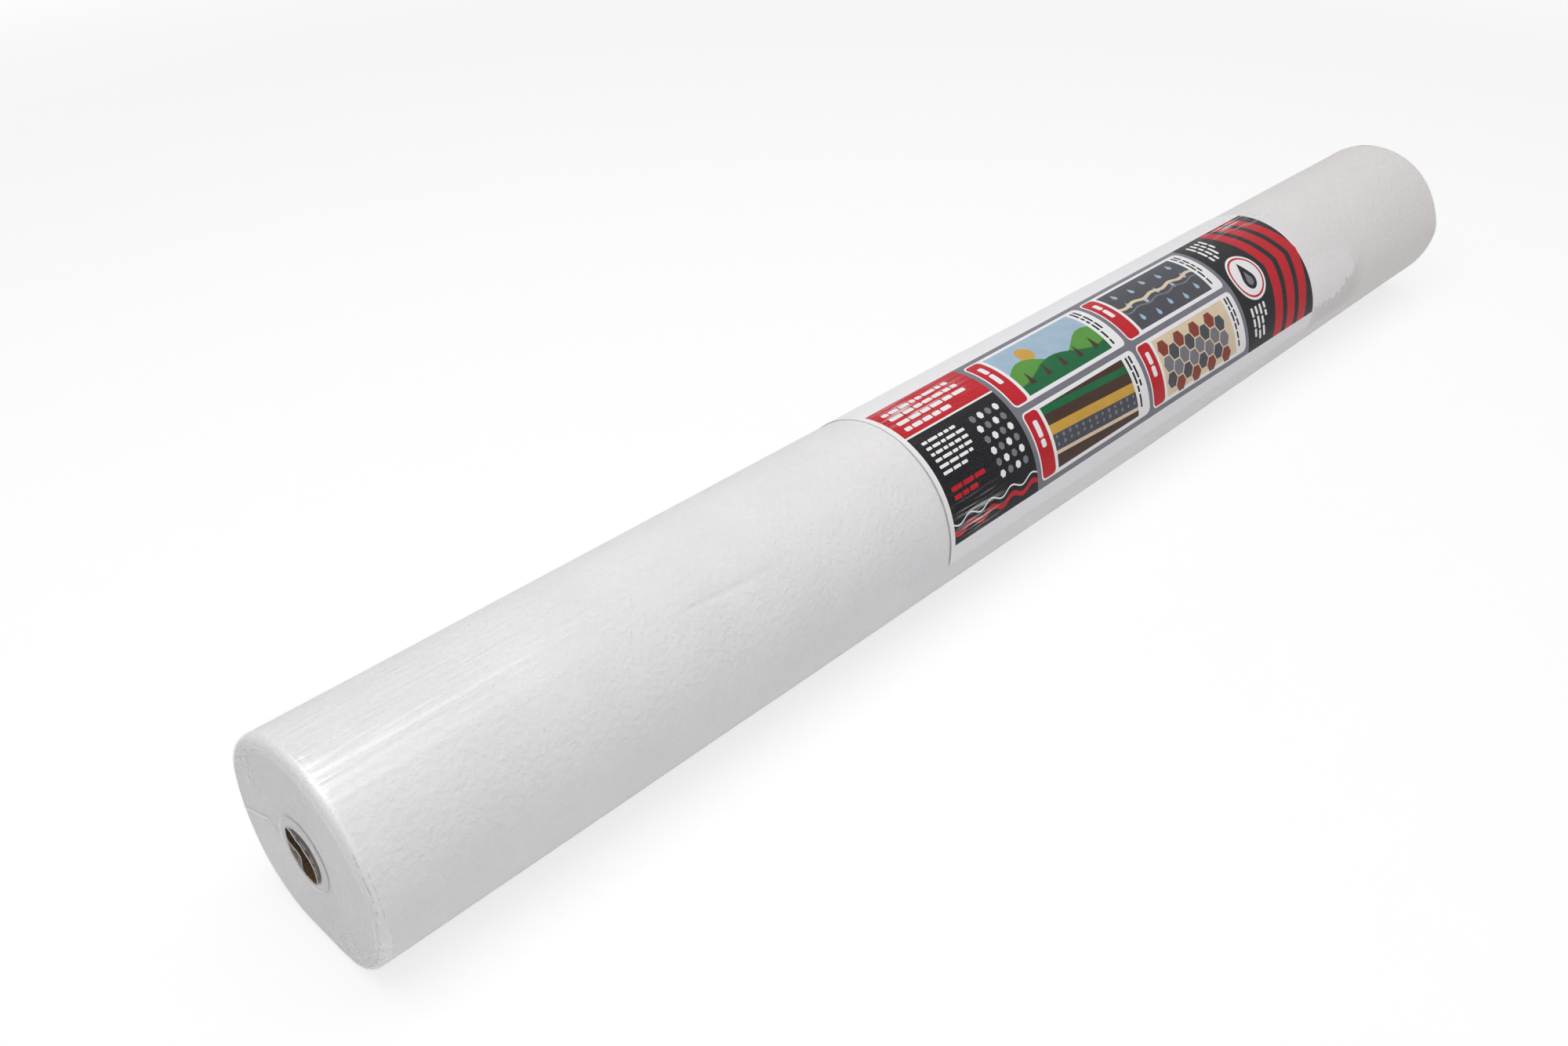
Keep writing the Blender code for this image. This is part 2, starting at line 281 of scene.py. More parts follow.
@dataclass(frozen=True)
class Fleece:
    """Needle-punched white fleece: matted fibres, with soft hollows a few millimetres across. The film clings
    to it past the printed sheet's far edge, with a painted shadow band below that patch. Two dashed lines of
    painted shade, which stand for the shadowed edges of the outer turns, run round part of the near rim. A
    painted contact shadow runs along the printed sheet's near edge, and painted shade lies in the furrows of
    the film's lengthwise ridges."""

    axis: tuple
    warm: tuple = (0.835, 0.835, 0.825)
    cool: tuple = (0.795, 0.795, 0.805)
    yellowed: tuple = (0.83, 0.8, 0.765)
    ridge_furrow_shade: tuple = (0.55, 0.55, 0.57)
    shadowed: tuple = (0.42, 0.4, 0.39)
    clinging: tuple = (0.97, 0.97, 0.97)
    rim_line_shade: tuple = (0.3, 0.29, 0.3)
    paper_edge_shadow: tuple = (0.42, 0.4, 0.35)
    pitted: tuple = (0.965, 0.965, 0.965)
    strands: tuple = (
        ((0.25, 1, 1), (0, 0, 0.5)),
        ((1, 0.25, 1), (0.4, 0, 0.3)),
        ((1, 1, 0.25), (0.3, 0.6, 0)),
    )
    cloud_scale: float = 22
    hollow_scale: float = 310
    fibre_scale: float = 900
    punch_scale: float = 520
    ridge_scale: float = 560
    hollow_depth: float = 0.00105
    fibre_depth: float = 0.00007
    ridge_depth: float = 0.0006
    # Dashed lines of painted shade for the shadowed edges of the outer turns at the near rim: place along the
    # roll, first and last angle in degrees, strength.
    rim_shade_lines: tuple = ((-0.4990, 137, 177, 0.6), (-0.4968, 146, 183, 0.42))
    # Width and wander of these painted shade lines.
    crease_width: float = 0.00032
    rim_shade_wander: float = 0.0014
    # Painted contact shadow under the printed sheet's near edge: place along the roll, then first and last
    # angle in degrees.
    paper_edge: tuple = (-0.13205, 108, 189)
    paper_edge_width: float = 0.0007
    patch_start: tuple = (0.28, 0.284)
    patch_stop: tuple = (0.35, 0.353)
    patch_upper: tuple = (math.radians(134), math.radians(156))
    patch_lower: tuple = (math.radians(176), math.radians(178))
    slant_from: float = 0.326
    slant: float = 8.0
    shadow_start: tuple = (0.285, 0.295)
    shadow_stop: tuple = (0.345, 0.375)
    shadow_lower: tuple = (math.radians(189), math.radians(198))

    def material(self) -> Material:
        """Build the material.

        Returns:
            The material.
        """
        graph = Graph(bpy.data.materials.new("nonwoven_fleece"))
        place = graph.place()
        along, angle = graph.unrolled(self.axis)
        clouds = graph.noise(place, self.cloud_scale, 3, 0.6)
        hollows = graph.noise(place, self.hollow_scale, 2, 0.5, 0.25)
        lying = [graph.noise(graph.place(*way), self.fibre_scale, 2, 0.6, 0.6) for way in self.strands]
        punches = graph.cells(place, self.punch_scale).step(0.02, 0.3)
        pile = (lying[0] + lying[1] + lying[2]) / 3 * 0.75 + punches * 0.25
        colour = graph.blend((clouds * 0.7 + hollows * 0.3).step(0.32, 0.68), self.cool, self.warm)
        aged = (along + (clouds - 0.5) * 0.3).step(0.12, 0.5) * 0.6
        colour = graph.blend(aged, colour, self.yellowed)
        drawn = graph.kept("drawn")
        ridges = graph.noise(graph.place((0.05, 1, 1)), self.ridge_scale, 2, 0.5, 0.15)
        # Painted shade: the fleece is darkened in the furrows between the film's drawn ridges, where shade
        # would fall.
        colour = graph.blend(drawn * ridges.step(0.5, 0.68) * 0.2, colour, self.ridge_furrow_shade)
        colour = self.marked(graph, colour, along, angle)
        shaded = graph.blend(pile.step(0.3, 0.62), self.pitted, (1, 1, 1))
        normal = graph.bump(hollows, self.hollow_depth, 0.8)
        normal = graph.bump(ridges * drawn, self.ridge_depth, 0.7, normal)
        inputs = {
            "Base Color": graph.blend(1.0, colour, shaded, "MULTIPLY"),
            "Roughness": 0.86 + pile * 0.12,
            "Normal": graph.bump(pile, self.fibre_depth, 0.6, normal),
            "Sheen Weight": 0.12,
            "Sheen Roughness": 0.6,
            "Specular IOR Level": 0.2,
        }
        return graph.surface(graph.coat(inputs))

    def marked(self, graph: Graph, colour: Value, along: Value, angle: Value) -> Value:
        """Paint the fleece where the film clings to it, with a painted shadow band below that patch, dashed
        lines of painted shade round the near rim, and a painted contact shadow along the printed sheet's near
        edge.

        Args:
            graph: The tree.
            colour: The fleece's colour.
            along: Place along the roll.
            angle: Angle round it.

        Returns:
            The marked colour.
        """
        patch, below = self.clung(graph, along, angle)
        # Painted shadow: a darker band on the fleece below the patch where the film clings.
        colour = graph.blend(below * 0.25, colour, self.shadowed)
        colour = graph.blend(patch * 0.45, colour, self.clinging)
        wander = (graph.noise(graph.place(), 90, 2) - 0.5) * self.rim_shade_wander
        dashes = graph.noise(graph.place((0.2, 1, 1)), 260, 3, 0.6).step(0.44, 0.54)
        # Painted shade: dashed dark lines where the edges of the outer turns lie in shadow at the near rim.
        for at, low, high, strength in self.rim_shade_lines:
            line = self.ringed(along - (wander + at), angle, self.crease_width, low, high) * dashes
            colour = graph.blend(line * strength, colour, self.rim_line_shade)
        # Painted contact shadow: a thin dark line on the fleece just before the printed sheet's near edge.
        at, low, high = self.paper_edge
        line = self.ringed(along - at, angle, self.paper_edge_width, low, high)
        return graph.blend(line * 0.6, colour, self.paper_edge_shadow)

    def clung(self, graph: Graph, along: Value, angle: Value) -> tuple[Value, Value]:
        """Where the film clings to the fleece past the printed sheet, with a ragged border.

        Args:
            graph: The tree.
            along: Place along the roll.
            angle: Angle round it.

        Returns:
            One in the patch, else nought, and the same for the painted shadow band below it.
        """
        ragged = graph.noise(graph.place(), 260, 4, 0.75) - 0.5
        waved = graph.noise(graph.place((1, 1, 1), (0.2, 0, 0)), 40, 2) - 0.5
        ends = 1 - (along + ragged * 0.045 + waved * 0.02).step(*self.patch_stop)
        upper = (angle + waved * 0.4 + ragged * 0.3).step(*self.patch_upper)
        slanted = angle + (along - self.slant_from).most(0.0) * self.slant + ragged * 0.6 + waved * 0.1
        lower = 1 - slanted.step(*self.patch_lower)
        below = along.step(*self.shadow_start) * (1 - along.step(*self.shadow_stop)) * (1 - lower)
        below = below * (1 - angle.step(*self.shadow_lower))
        return along.step(*self.patch_start) * ends * upper * lower, below

    @staticmethod
    def ringed(off: Value, angle: Value, width: float, low: float, high: float) -> Value:
        """A fine line round part of the roll.

        Args:
            off: Distance along the roll from the line.
            angle: Angle round the roll.
            width: The line's width.
            low: Angle it starts at, in degrees.
            high: Angle it ends at.

        Returns:
            One in the line, else nought.
        """
        line = 1 - abs(off).step(width * 0.3, width)
        span = angle.step(math.radians(low), math.radians(low + 8))
        return line * span * (1 - angle.step(math.radians(high - 6), math.radians(high)))


@dataclass(frozen=True)
class ShrinkFilm:
    """Clear glossy film. It shows by its reflections, by a white haze where it is bunched up or sealed, and
    by fine lengthwise ridges where it is drawn tight. Its haze also carries painted highlights: whiter lines
    on the drawn ridges and on the crumples stand for their glints."""

    clear_share: float = 0.005
    grazing_share: float = 0.07
    haze_share: float = 0.78
    most_share: float = 0.9
    streak_scale: float = 420
    ridge_scale: float = 560
    crinkle_scale: float = 900
    ripple_scale: float = 120
    thread_scale: float = 150
    wrinkle_depth: float = 0.0006
    dull: tuple = (0.9, 0.91, 0.93)
    bright: tuple = (0.97, 0.97, 0.98)
    dark: tuple = (0.2, 0.185, 0.175)

    def material(self) -> Material:
        """Build the material.

        Returns:
            The material.
        """
        graph = Graph(bpy.data.materials.new("clear_shrink_film"))
        haze, drawn, crumpled, shade = map(graph.kept, ("haze", "drawn", "crumpled", "shade"))
        place = graph.place()
        streaks = graph.noise(graph.place((0.045, 1, 1)), self.streak_scale, 3, 0.6, 0.2)
        ridges = graph.noise(graph.place((0.05, 1, 1)), self.ridge_scale, 2, 0.5, 0.15).step(0.46, 0.64)
        crinkles = graph.noise(place, self.crinkle_scale, 3, 0.65, 1.2)
        ripple = graph.noise(place, self.ripple_scale, 2, 0.5, 0.2)
        threads = 1 - abs(graph.noise(place, self.thread_scale, 2, 0.55, 1.5) - 0.5).step(0.004, 0.03)
        # The film's own haze, plus painted highlights: the drawn ridges and the crumple threads add white
        # haze that stands for their glints.
        haze_and_glints = haze * (0.65 + crinkles * 0.7) + drawn * drawn * ridges * 0.85 + crumpled * threads
        haze_and_glints = haze_and_glints.least(1.0)
        edge_on = graph.value("ShaderNodeLayerWeight", {}, {"Blend": 0.5}, "Facing") ** 4
        sheer = self.clear_share + edge_on * self.grazing_share + streaks.step(0.5, 0.72) * 0.006
        wrinkled = graph.bump(streaks * 0.85 + ripple * 0.15, self.wrinkle_depth, 0.35)
        sparkle = crinkles * (0.02 + haze * haze) + crumpled * threads * 0.5
        colour = graph.blend(streaks, self.dull, self.bright)
        inputs = {
            "Base Color": graph.blend(shade * 0.85, colour, self.dark),
            "Metallic": 1 - haze_and_glints,
            "Roughness": 0.24 + ripple * 0.12 + haze_and_glints * 0.1,
            "Normal": graph.bump(sparkle, self.wrinkle_depth, 0.6, wrinkled),
            "Specular IOR Level": 0.5,
        }
        share = (sheer + haze_and_glints * self.haze_share).least(self.most_share)
        behind = graph.value("ShaderNodeBsdfTransparent", {}, {"Color": (1, 1, 1, 1)})
        mixed = {0: share, 1: behind, 2: graph.coat(inputs)}
        return graph.surface(graph.value("ShaderNodeMixShader", {}, mixed))


@dataclass(frozen=True)
class Kraft:
    """Brown kraft board of the core, paler where it is cut. Its browns are darker than the board's own,
    partly as painted shade for the dim bore.
    """

    # Board browns, darkened below the board's own colour to stand partly for shade inside the bore.
    dark: tuple = (0.075, 0.042, 0.02)
    light: tuple = (0.18, 0.11, 0.055)
    cut: tuple = (0.6, 0.53, 0.45)
    fibre_scale: float = 700
    fleck_scale: float = 900
    pulp_scale: float = 60
    fibre_depth: float = 0.0002

    def material(self, cut_from: float) -> Material:
        """Build the material.

        Args:
            cut_from: Distance of the cut ends from the middle of the core.

        Returns:
            The material.
        """
        graph = Graph(bpy.data.materials.new("kraft_board"))
        fibres = graph.noise(graph.place((0.2, 1, 1), (0.9, 0, 0)), self.fibre_scale, 4, 0.65, 0.3)
        flecks = graph.cells(graph.place((0.4, 1, 1)), self.fleck_scale).step(0.1, 0.24)
        pulp = graph.noise(graph.place(), self.pulp_scale, 3, 0.5)
        along = graph.value("ShaderNodeSeparateXYZ", {}, {0: graph.place()}, "X")
        at_cut = abs(along).step(cut_from - 0.0009, cut_from - 0.0002)
        board = graph.blend((fibres * 0.7 + pulp * 0.3).step(0.3, 0.7), self.dark, self.light)
        board = graph.blend(0.35 - flecks * 0.35, board, self.dark)
        sawn = graph.blend(fibres.step(0.35, 0.65), self.light, self.cut)
        inputs = {
            "Base Color": graph.blend(at_cut, board, sawn),
            "Roughness": 0.72 + fibres * 0.2,
            "Normal": graph.bump(fibres, self.fibre_depth, 0.6),
            "Specular IOR Level": 0.3,
        }
        return graph.surface(graph.coat(inputs))


@dataclass(frozen=True)
class Adhesive:
    """Double-sided tape: a yellowish tacky coat over a thin crossed scrim."""

    coat: tuple = (0.78, 0.7, 0.48)
    thread: tuple = (0.86, 0.82, 0.7)
    blotch_scale: float = 140
    scrim_scale: float = 160
    scrim_depth: float = 0.0001

    def material(self) -> Material:
        """Build the material.

        Returns:
            The material.
        """
        graph = Graph(bpy.data.materials.new("core_tape_coat"))
        place = graph.place()
        blotches = graph.noise(place, self.blotch_scale, 3, 0.6)
        woven = {"Vector": place, "Scale": self.scrim_scale}
        warp, weft = (graph.value("ShaderNodeTexWave", {"bands_direction": way}, woven) for way in "XY")
        scrim = warp.most(weft).step(0.8, 1.0)
        inputs = {
            "Base Color": graph.blend(scrim * 0.6 + blotches * 0.3, self.coat, self.thread),
            "Roughness": 0.3 + blotches * 0.25,
            "Normal": graph.bump(scrim + blotches * 0.4, self.scrim_depth, 0.5),
        }
        return graph.surface(graph.coat(inputs))


@dataclass(frozen=True)
class PrintedPaper:
    """Coated paper with one flat ink on it, a little mottled."""

    ink: Ink
    mottle: float = 0.08
    paper_mottle: float = 0.015
    fibre_scale: float = 1600
    density_scale: float = 90
    fibre_depth: float = 0.00003

    def material(self) -> Material:
        """Build the material.

        Returns:
            The material.
        """
        graph = Graph(bpy.data.materials.new(f"print_{self.ink.name.lower()}"))
        place = graph.place()
        fibres = graph.noise(place, self.fibre_scale, 3, 0.6)
        density = graph.noise(place, self.density_scale, 4, 0.6)
        tone = (fibres * 0.4 + density * 0.6).step(0.3, 0.7)
        spread = self.paper_mottle if self.ink is Ink.PAPER else self.mottle
        weak, strong = (tuple(c * share for c in self.ink.value) for share in (1 - spread, 1 + spread))
        inputs = {
            "Base Color": graph.blend(tone, weak, strong),
            "Roughness": 0.34 + density * 0.14,
            "Normal": graph.bump(fibres, self.fibre_depth, 0.4),
            "Specular IOR Level": 0.1,
        }
        return graph.surface(graph.coat(inputs))


@dataclass(frozen=True)
class StudioFloor:
    """Seamless pale floor: nearly white to the camera, and still darker where the roll shades it."""

    colour: tuple = (0.86, 0.86, 0.87)
    pale: tuple = (0.9, 0.9, 0.9)
    grain_scale: float = 40
    lit_share: float = 0.36
    shaded_within: float = 1.1
    white_from: float = 2.6
    whiteness: float = 1.13

    def material(self) -> Material:
        """Build the material.

        Returns:
            The material.
        """
        graph = Graph(bpy.data.materials.new("studio_floor"))
        place = graph.place()
        grain = graph.noise(place, self.grain_scale, 3, 0.6)
        away = graph.value("ShaderNodeVectorMath", {"operation": "LENGTH"}, {0: place}, "Value")
        lit = self.lit_share * (1 - away.step(self.shaded_within, self.white_from))
        inputs = {
            "Base Color": graph.blend(grain, self.colour, self.pale),
            "Roughness": 0.9,
            "Specular IOR Level": 0.0,
        }
        white = graph.value("ShaderNodeEmission", {}, {"Color": (1, 1, 1, 1), "Strength": self.whiteness})
        shown = {0: seen(graph) * (1 - lit), 1: graph.coat(inputs), 2: white}
        return graph.surface(graph.value("ShaderNodeMixShader", {}, shown))


# Curves that several pieces use


def ramp(value: Array, start: float, reach: float) -> Array:
    """Share from 0 at the start to 1 a reach further on, held there. A negative reach runs downwards."""
    return np.clip((value - start) / reach, 0, 1)


def ease(share: Array) -> Array:
    """A share from 0 to 1 with a soft start and stop."""
    return share * share * (3 - 2 * share)


def bell(*offs: Array) -> Array:
    """Bell curve of height 1, for offsets from its middle that are counted in its widths."""
    return np.exp(-sum(off**2 for off in offs))


def swing(angle: Array, middle: float, turn: float = TURN) -> Array:
    """Angles from a middle one to these, the short way round."""
    return (np.asarray(angle) - middle + turn / 2) % turn - turn / 2


def degrees_off(angle: Array, middle: float) -> Array:
    """Degrees to these angles from a middle one, which is given in degrees."""
    return swing(np.degrees(angle), middle, 360)


@dataclass(frozen=True)
class Unevenness:
    """Smooth seeded noise over the unrolled outside of the roll, or over one of its end faces."""

    cell: float
    around: int
    seed: int
    reach: float = 0.65

    def at(self, end: End) -> "Unevenness":
        """The same unevenness with a seed of its own for each end."""
        return replace(self, seed=self.seed + end.value)

    def __call__(self, x: Array, angle: Array) -> Array:
        """Sample it.

        Args:
            x: Places along the roll, or distances from its axis.
            angle: Angles round it.

        Returns:
            Heights from -1 to 1.
        """
        rows = int(2 * self.reach / self.cell) + 3
        table = np.random.default_rng(self.seed).uniform(-1, 1, (rows, self.around))
        along = (np.asarray(x) + self.reach) / self.cell
        round_it = (np.asarray(angle) % TURN) / TURN * self.around
        row = np.clip(np.floor(along).astype(int), 0, rows - 2)
        column = np.floor(round_it).astype(int)
        u, v = ease(along - row), ease(round_it - column)
        here, beyond = column % self.around, (column + 1) % self.around
        low = table[row, here] * (1 - v) + table[row, beyond] * v
        high = table[row + 1, here] * (1 - v) + table[row + 1, beyond] * v
        return low * (1 - u) + high * u


@dataclass(frozen=True)
class Fold:
    """A narrow fold or dent along a line on the unrolled roll, between two pairs of a place and an angle."""

    start: tuple
    stop: tuple
    width: float
    height: float

    def __call__(self, x: Array, angle: Array) -> Array:
        """Height of the fold.

        Args:
            x: Places along the roll.
            angle: Angles round it.

        Returns:
            Heights, which fade out at the fold's ends.
        """
        ends = (self.start, self.stop)
        first, last = (np.array([at, math.radians(turned) * ROLL_RADIUS]) for at, turned in ends)
        reach = last - first
        length = float(np.hypot(*reach))
        along = x - first[0]
        across = angle * ROLL_RADIUS - first[1]
        share = (along * reach[0] + across * reach[1]) / length**2
        away = (along * reach[1] - across * reach[0]) / length
        return self.height * bell(away / self.width) * np.clip(share * (1 - share) * 4, 0, 1) ** 0.5


# Meshes


def quads(rows: int, columns: int, close_rows: bool = False, close_columns: bool = False) -> Array:
    """Corners of the quads between the points of a grid.

    Args:
        rows: Number of rows of points.
        columns: Points in a row.
        close_rows: Whether the last row joins the first.
        close_columns: Whether the last point of a row joins its first.

    Returns:
        Four indices for each quad.
    """
    index = np.arange(rows * columns).reshape(rows, columns)
    if close_rows:
        index = np.vstack([index, index[:1]])
    if close_columns:
        index = np.hstack([index, index[:, :1]])
    corners = (index[:-1, :-1], index[:-1, 1:], index[1:, 1:], index[1:, :-1])
    return np.stack([corner.ravel() for corner in corners], axis=1)


def add_piece(
    name: str, points: Array, faces: list, looks: list, node: str, closed: bool = True
) -> Object:
    """Make a mesh piece that stands for a solid of the frame.

    Args:
        name: The piece's name.
        points: Its points.
        faces: Corner indices of each face.
        looks: Its materials.
        node: The solid it stands for.
        closed: Whether its faces close round a volume, so that they can be turned outwards.

    Returns:
        The piece.
    """
    data = bpy.data.meshes.new(name)
    data.from_pydata(points.reshape(-1, 3).tolist(), [], [list(map(int, face)) for face in faces])
    if closed:
        mesh = bmesh.new()
        mesh.from_mesh(data)
        bmesh.ops.recalc_face_normals(mesh, faces=mesh.faces)
        mesh.to_mesh(data)
        mesh.free()
    piece = bpy.data.objects.new(name, data)
    for look in looks:
        data.materials.append(look)
    bpy.context.scene.collection.objects.link(piece)
    data.shade_smooth()
    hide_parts(node)
    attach(piece, "root")
    return piece


def keep_points(piece: Object, name: str, values: Array) -> None:
    """Keep one number for each point of a piece, for its material to read."""
    attribute = piece.data.attributes.new(name, "FLOAT", "POINT")
    attribute.data.foreach_set("value", values.ravel().astype(np.float32))


# The roll's form


@dataclass(frozen=True)
class Section:
    """Outline across the roll, and how its layers lie inside it."""

    axis_y: float = 0.00047
    axis_z: float = 0.052711
    half_web: float = 0.5
    core_radius: float = 0.01825
    bore_radius: float = 0.015
    start_radius: float = 0.01915
    tail_radius: float = 0.05789
    turns: float = 49.5
    web_thickness: float = 0.00072
    tail_angle: float = math.radians(315)
    underside: float = math.radians(270)
    rest_angle: float = math.radians(12.8)
    sag_reach: float = math.radians(52)
    smooth_reach: float = 0.32
    film_off: float = 0.0006
    rim_radius: float = 0.005
    near_swells: tuple = ((22, 15, 1.25), (238, 11, 1.5), (324, 12, 0.6))
    far_swells: tuple = ((226, 26, -2.4), (176, 14, 1.5), (80, 30, 0.5))
    near_swells_run: tuple = (-0.44, -0.05)
    far_swells_run: tuple = (0.1, 0.35)
    swells_depth: tuple = (0.03, 0.028)
    broad: Unevenness = Unevenness(0.07, 11, 5)
    broad_height: float = 0.16
    lumps: Unevenness = Unevenness(0.016, 30, 8)
    lumps_height: float = 0.05

    @property
    def pitch(self) -> float:
        """Radius gained in one turn."""
        return (self.tail_radius - self.web_thickness - self.start_radius) / self.turns

    @property
    def face(self) -> float:
        """Distance of the film over an end from the middle of the roll."""
        return self.half_web + self.film_off

    @property
    def rest_height(self) -> float:
        """Height of the axis over the flat underside of the web."""
        return self.axis_z - self.film_off

    def outline(self, angle: Array) -> Array:
        """Outside of the web before the roll sags, with the straight run past its tail.

        Args:
            angle: Angles round the roll.

        Returns:
            Radii.
        """
        past = (np.asarray(angle) - self.tail_angle) % TURN
        inner = self.tail_radius - self.pitch
        landing = math.acos(inner / self.tail_radius)
        spiral = inner + self.pitch * past / TURN
        bridge = inner / np.cos(np.clip(landing - past, 0, landing))
        return np.where(past < landing, np.maximum(spiral, bridge), spiral)

    def sagged(self, radius: Array, angle: Array, height: float) -> Array:
        """Press an outline flat on its underside.

        Args:
            radius: The outline before it sags.
            angle: Angles round the roll.
            height: Distance of the flat strip below the axis.

        Returns:
            The outline's radius afterwards.
        """
        away = np.abs(swing(angle, self.underside))
        edge = height / math.cos(self.rest_angle)
        span = self.sag_reach - self.rest_angle
        share = ramp(away, self.rest_angle, span)
        slope = edge * math.tan(self.rest_angle) * span * share * (1 - share) ** 2
        rounded = edge + (radius - edge) * ease(share) + slope
        return np.where(away <= self.rest_angle, height / np.cos(np.minimum(away, 1.0)), rounded)

    def layer(self, radius: Array, angle: Array) -> Array:
        """Squeeze a layer inside the web in step with the outline under it.

        Args:
            radius: The layer's radius before the roll sags.
            angle: Angles round the roll.

        Returns:
            Its radius afterwards.
        """
        whole = self.outline(angle)
        pressed = self.sagged(whole, angle, self.rest_height)
        squeeze = (pressed - self.core_radius) / (whole - self.core_radius)
        return self.core_radius + (radius - self.core_radius) * squeeze

    def film(self, angle: Array) -> Array:
        """Radius of the film round the roll."""
        return self.sagged(self.outline(angle) + self.film_off, angle, self.axis_z)

    def relief(self, x: Array, angle: Array) -> Array:
        """Unevenness that the web, the printed sheet and the film share. None where the roll rests."""
        height = self.broad(x, angle) * self.broad_height + self.lumps(x, angle) * self.lumps_height
        return height * MM * self.off_floor(angle)

    def fullness(self, x: Array, angle: Array) -> Array:
        """How far the web's outside swells towards the ends, where the soft roll is out of round.

        Args:
            x: Places along the roll.
            angle: Angles round it.

        Returns:
            Heights.
        """
        total = 0 * (np.asarray(x) + angle)
        ends = ((self.near_swells, self.near_swells_run), (self.far_swells, self.far_swells_run))
        for swells, run in ends:
            for middle, wide, size in swells:
                total = total + size * MM * bell(degrees_off(angle, middle) / wide) * ramp(x, *run)
        return total

    def off_floor(self, angle: Array) -> Array:
        """Share of the unevenness at each angle: none where the roll rests."""
        return ramp(np.abs(swing(angle, self.underside)), self.rest_angle, self.smooth_reach)

    def point(self, x: Array, radius: Array, angle: Array) -> Array:
        """Points of the roll, which takes its swells here.

        Args:
            x: Places along the roll.
            radius: Radii before the roll swells.
            angle: Angles round it.

        Returns:
            The points.
        """
        radius = radius + self.fullness(x, angle) * ramp(radius, *self.swells_depth)
        y = self.axis_y + radius * np.cos(angle)
        z = self.axis_z + radius * np.sin(angle)
        return np.stack(np.broadcast_arrays(x, y, z), axis=-1)

    def polar(self, points: Array) -> tuple[Array, Array]:
        """Distances of points from the axis, and their angles round it."""
        across, up = points[..., 1] - self.axis_y, points[..., 2] - self.axis_z
        return np.hypot(across, up), np.arctan2(up, across)


@dataclass(frozen=True)
class Streaks:
    """Fine lengthwise wrinkles that the shrunk film makes from both rims, and presses into the fleece. Most
    lie on the near end's upper side. A group has its number, angles, end, lengths and height, the last in
    millimetres."""

    face: float
    seed: int = 17
    groups: tuple = (
        (90, (48, 133), End.NEAR, (0.03, 0.2), 0.085),
        (40, (131, 200), End.NEAR, (0.012, 0.05), 0.04),
        (40, (280, 410), End.NEAR, (0.02, 0.07), 0.05),
        (26, (78, 132), End.FAR, (0.05, 0.22), 0.06),
        (70, (0, 360), End.FAR, (0.02, 0.08), 0.05),
    )
    widths: tuple = (0.9, 2.2)
    skew: float = 0.25
    least_share: float = 0.3
    signs: tuple = (1, 1, -0.6)
    rim_fade: float = 0.004

    def __call__(self, x: Array, angle: Array) -> Array:
        """Height of the wrinkles.

        Args:
            x: Places along the roll.
            angle: Angles round it.

        Returns:
            Heights.
        """
        chance = np.random.default_rng(self.seed)
        height = np.zeros(np.broadcast(x, angle).shape)
        for count, angles, end, lengths, tall in self.groups:
            for _ in range(count):
                middle = math.radians(chance.uniform(*angles))
                width = chance.uniform(*self.widths) * MM / ROLL_RADIUS
                reach = chance.uniform(*lengths)
                skew = chance.uniform(-self.skew, self.skew)
                size = chance.uniform(self.least_share, 1) * tall * MM * chance.choice(self.signs)
                inwards = self.face - end.value * x
                off = swing(angle - middle - skew * inwards, 0)
                window = np.clip(1 - inwards / reach, 0, 1) ** 0.8 * ramp(inwards, 0, self.rim_fade)
                height = height + size * bell(off / width) * window
        return height


@dataclass(frozen=True)
class Drawn:
    """Where the shrunk film is drawn into fine lengthwise ridges, which it presses into the fleece as well. A
    spot has its place and angle, its length, its width in degrees, and its strength."""

    section: Section
    least: float = 0.05
    spots: tuple = (
        (-0.43, 92, 0.1, 32, 0.4),
        (-0.4955, 107, 0.006, 11, 0.5),
        (-0.494, 203, 0.006, 16, 0.3),
        (-0.108, 165, 0.018, 10, 1.1),
        (-0.099, 89.5, 0.03, 10, 1.2),
        (0.262, 82, 0.028, 13, 1.0),
        (0.423, 96, 0.028, 5, 0.4),
        (0.381, 79.5, 0.014, 5, 0.35),
        (0.30, 92, 0.02, 8, 0.3),
        (0.42, 200, 0.05, 40, 0.1),
        (-0.45, 330, 0.05, 40, 0.4),
        (0.1, 30, 0.2, 30, 0.3),
    )

    def __call__(self, points: Array) -> Array:
        """Strength of the ridges.

        Args:
            points: Rows of points.

        Returns:
            Strengths from 0 to 1.
        """
        x = points[..., 0]
        _, angle = self.section.polar(points)
        total = self.least + 0 * x
        for at, middle, long, wide, size in self.spots:
            total = total + size * bell((x - at) / long, degrees_off(angle, middle) / wide)
        return np.clip(total, 0, 1) * ramp(np.abs(x), self.section.face, -MM)


# Core


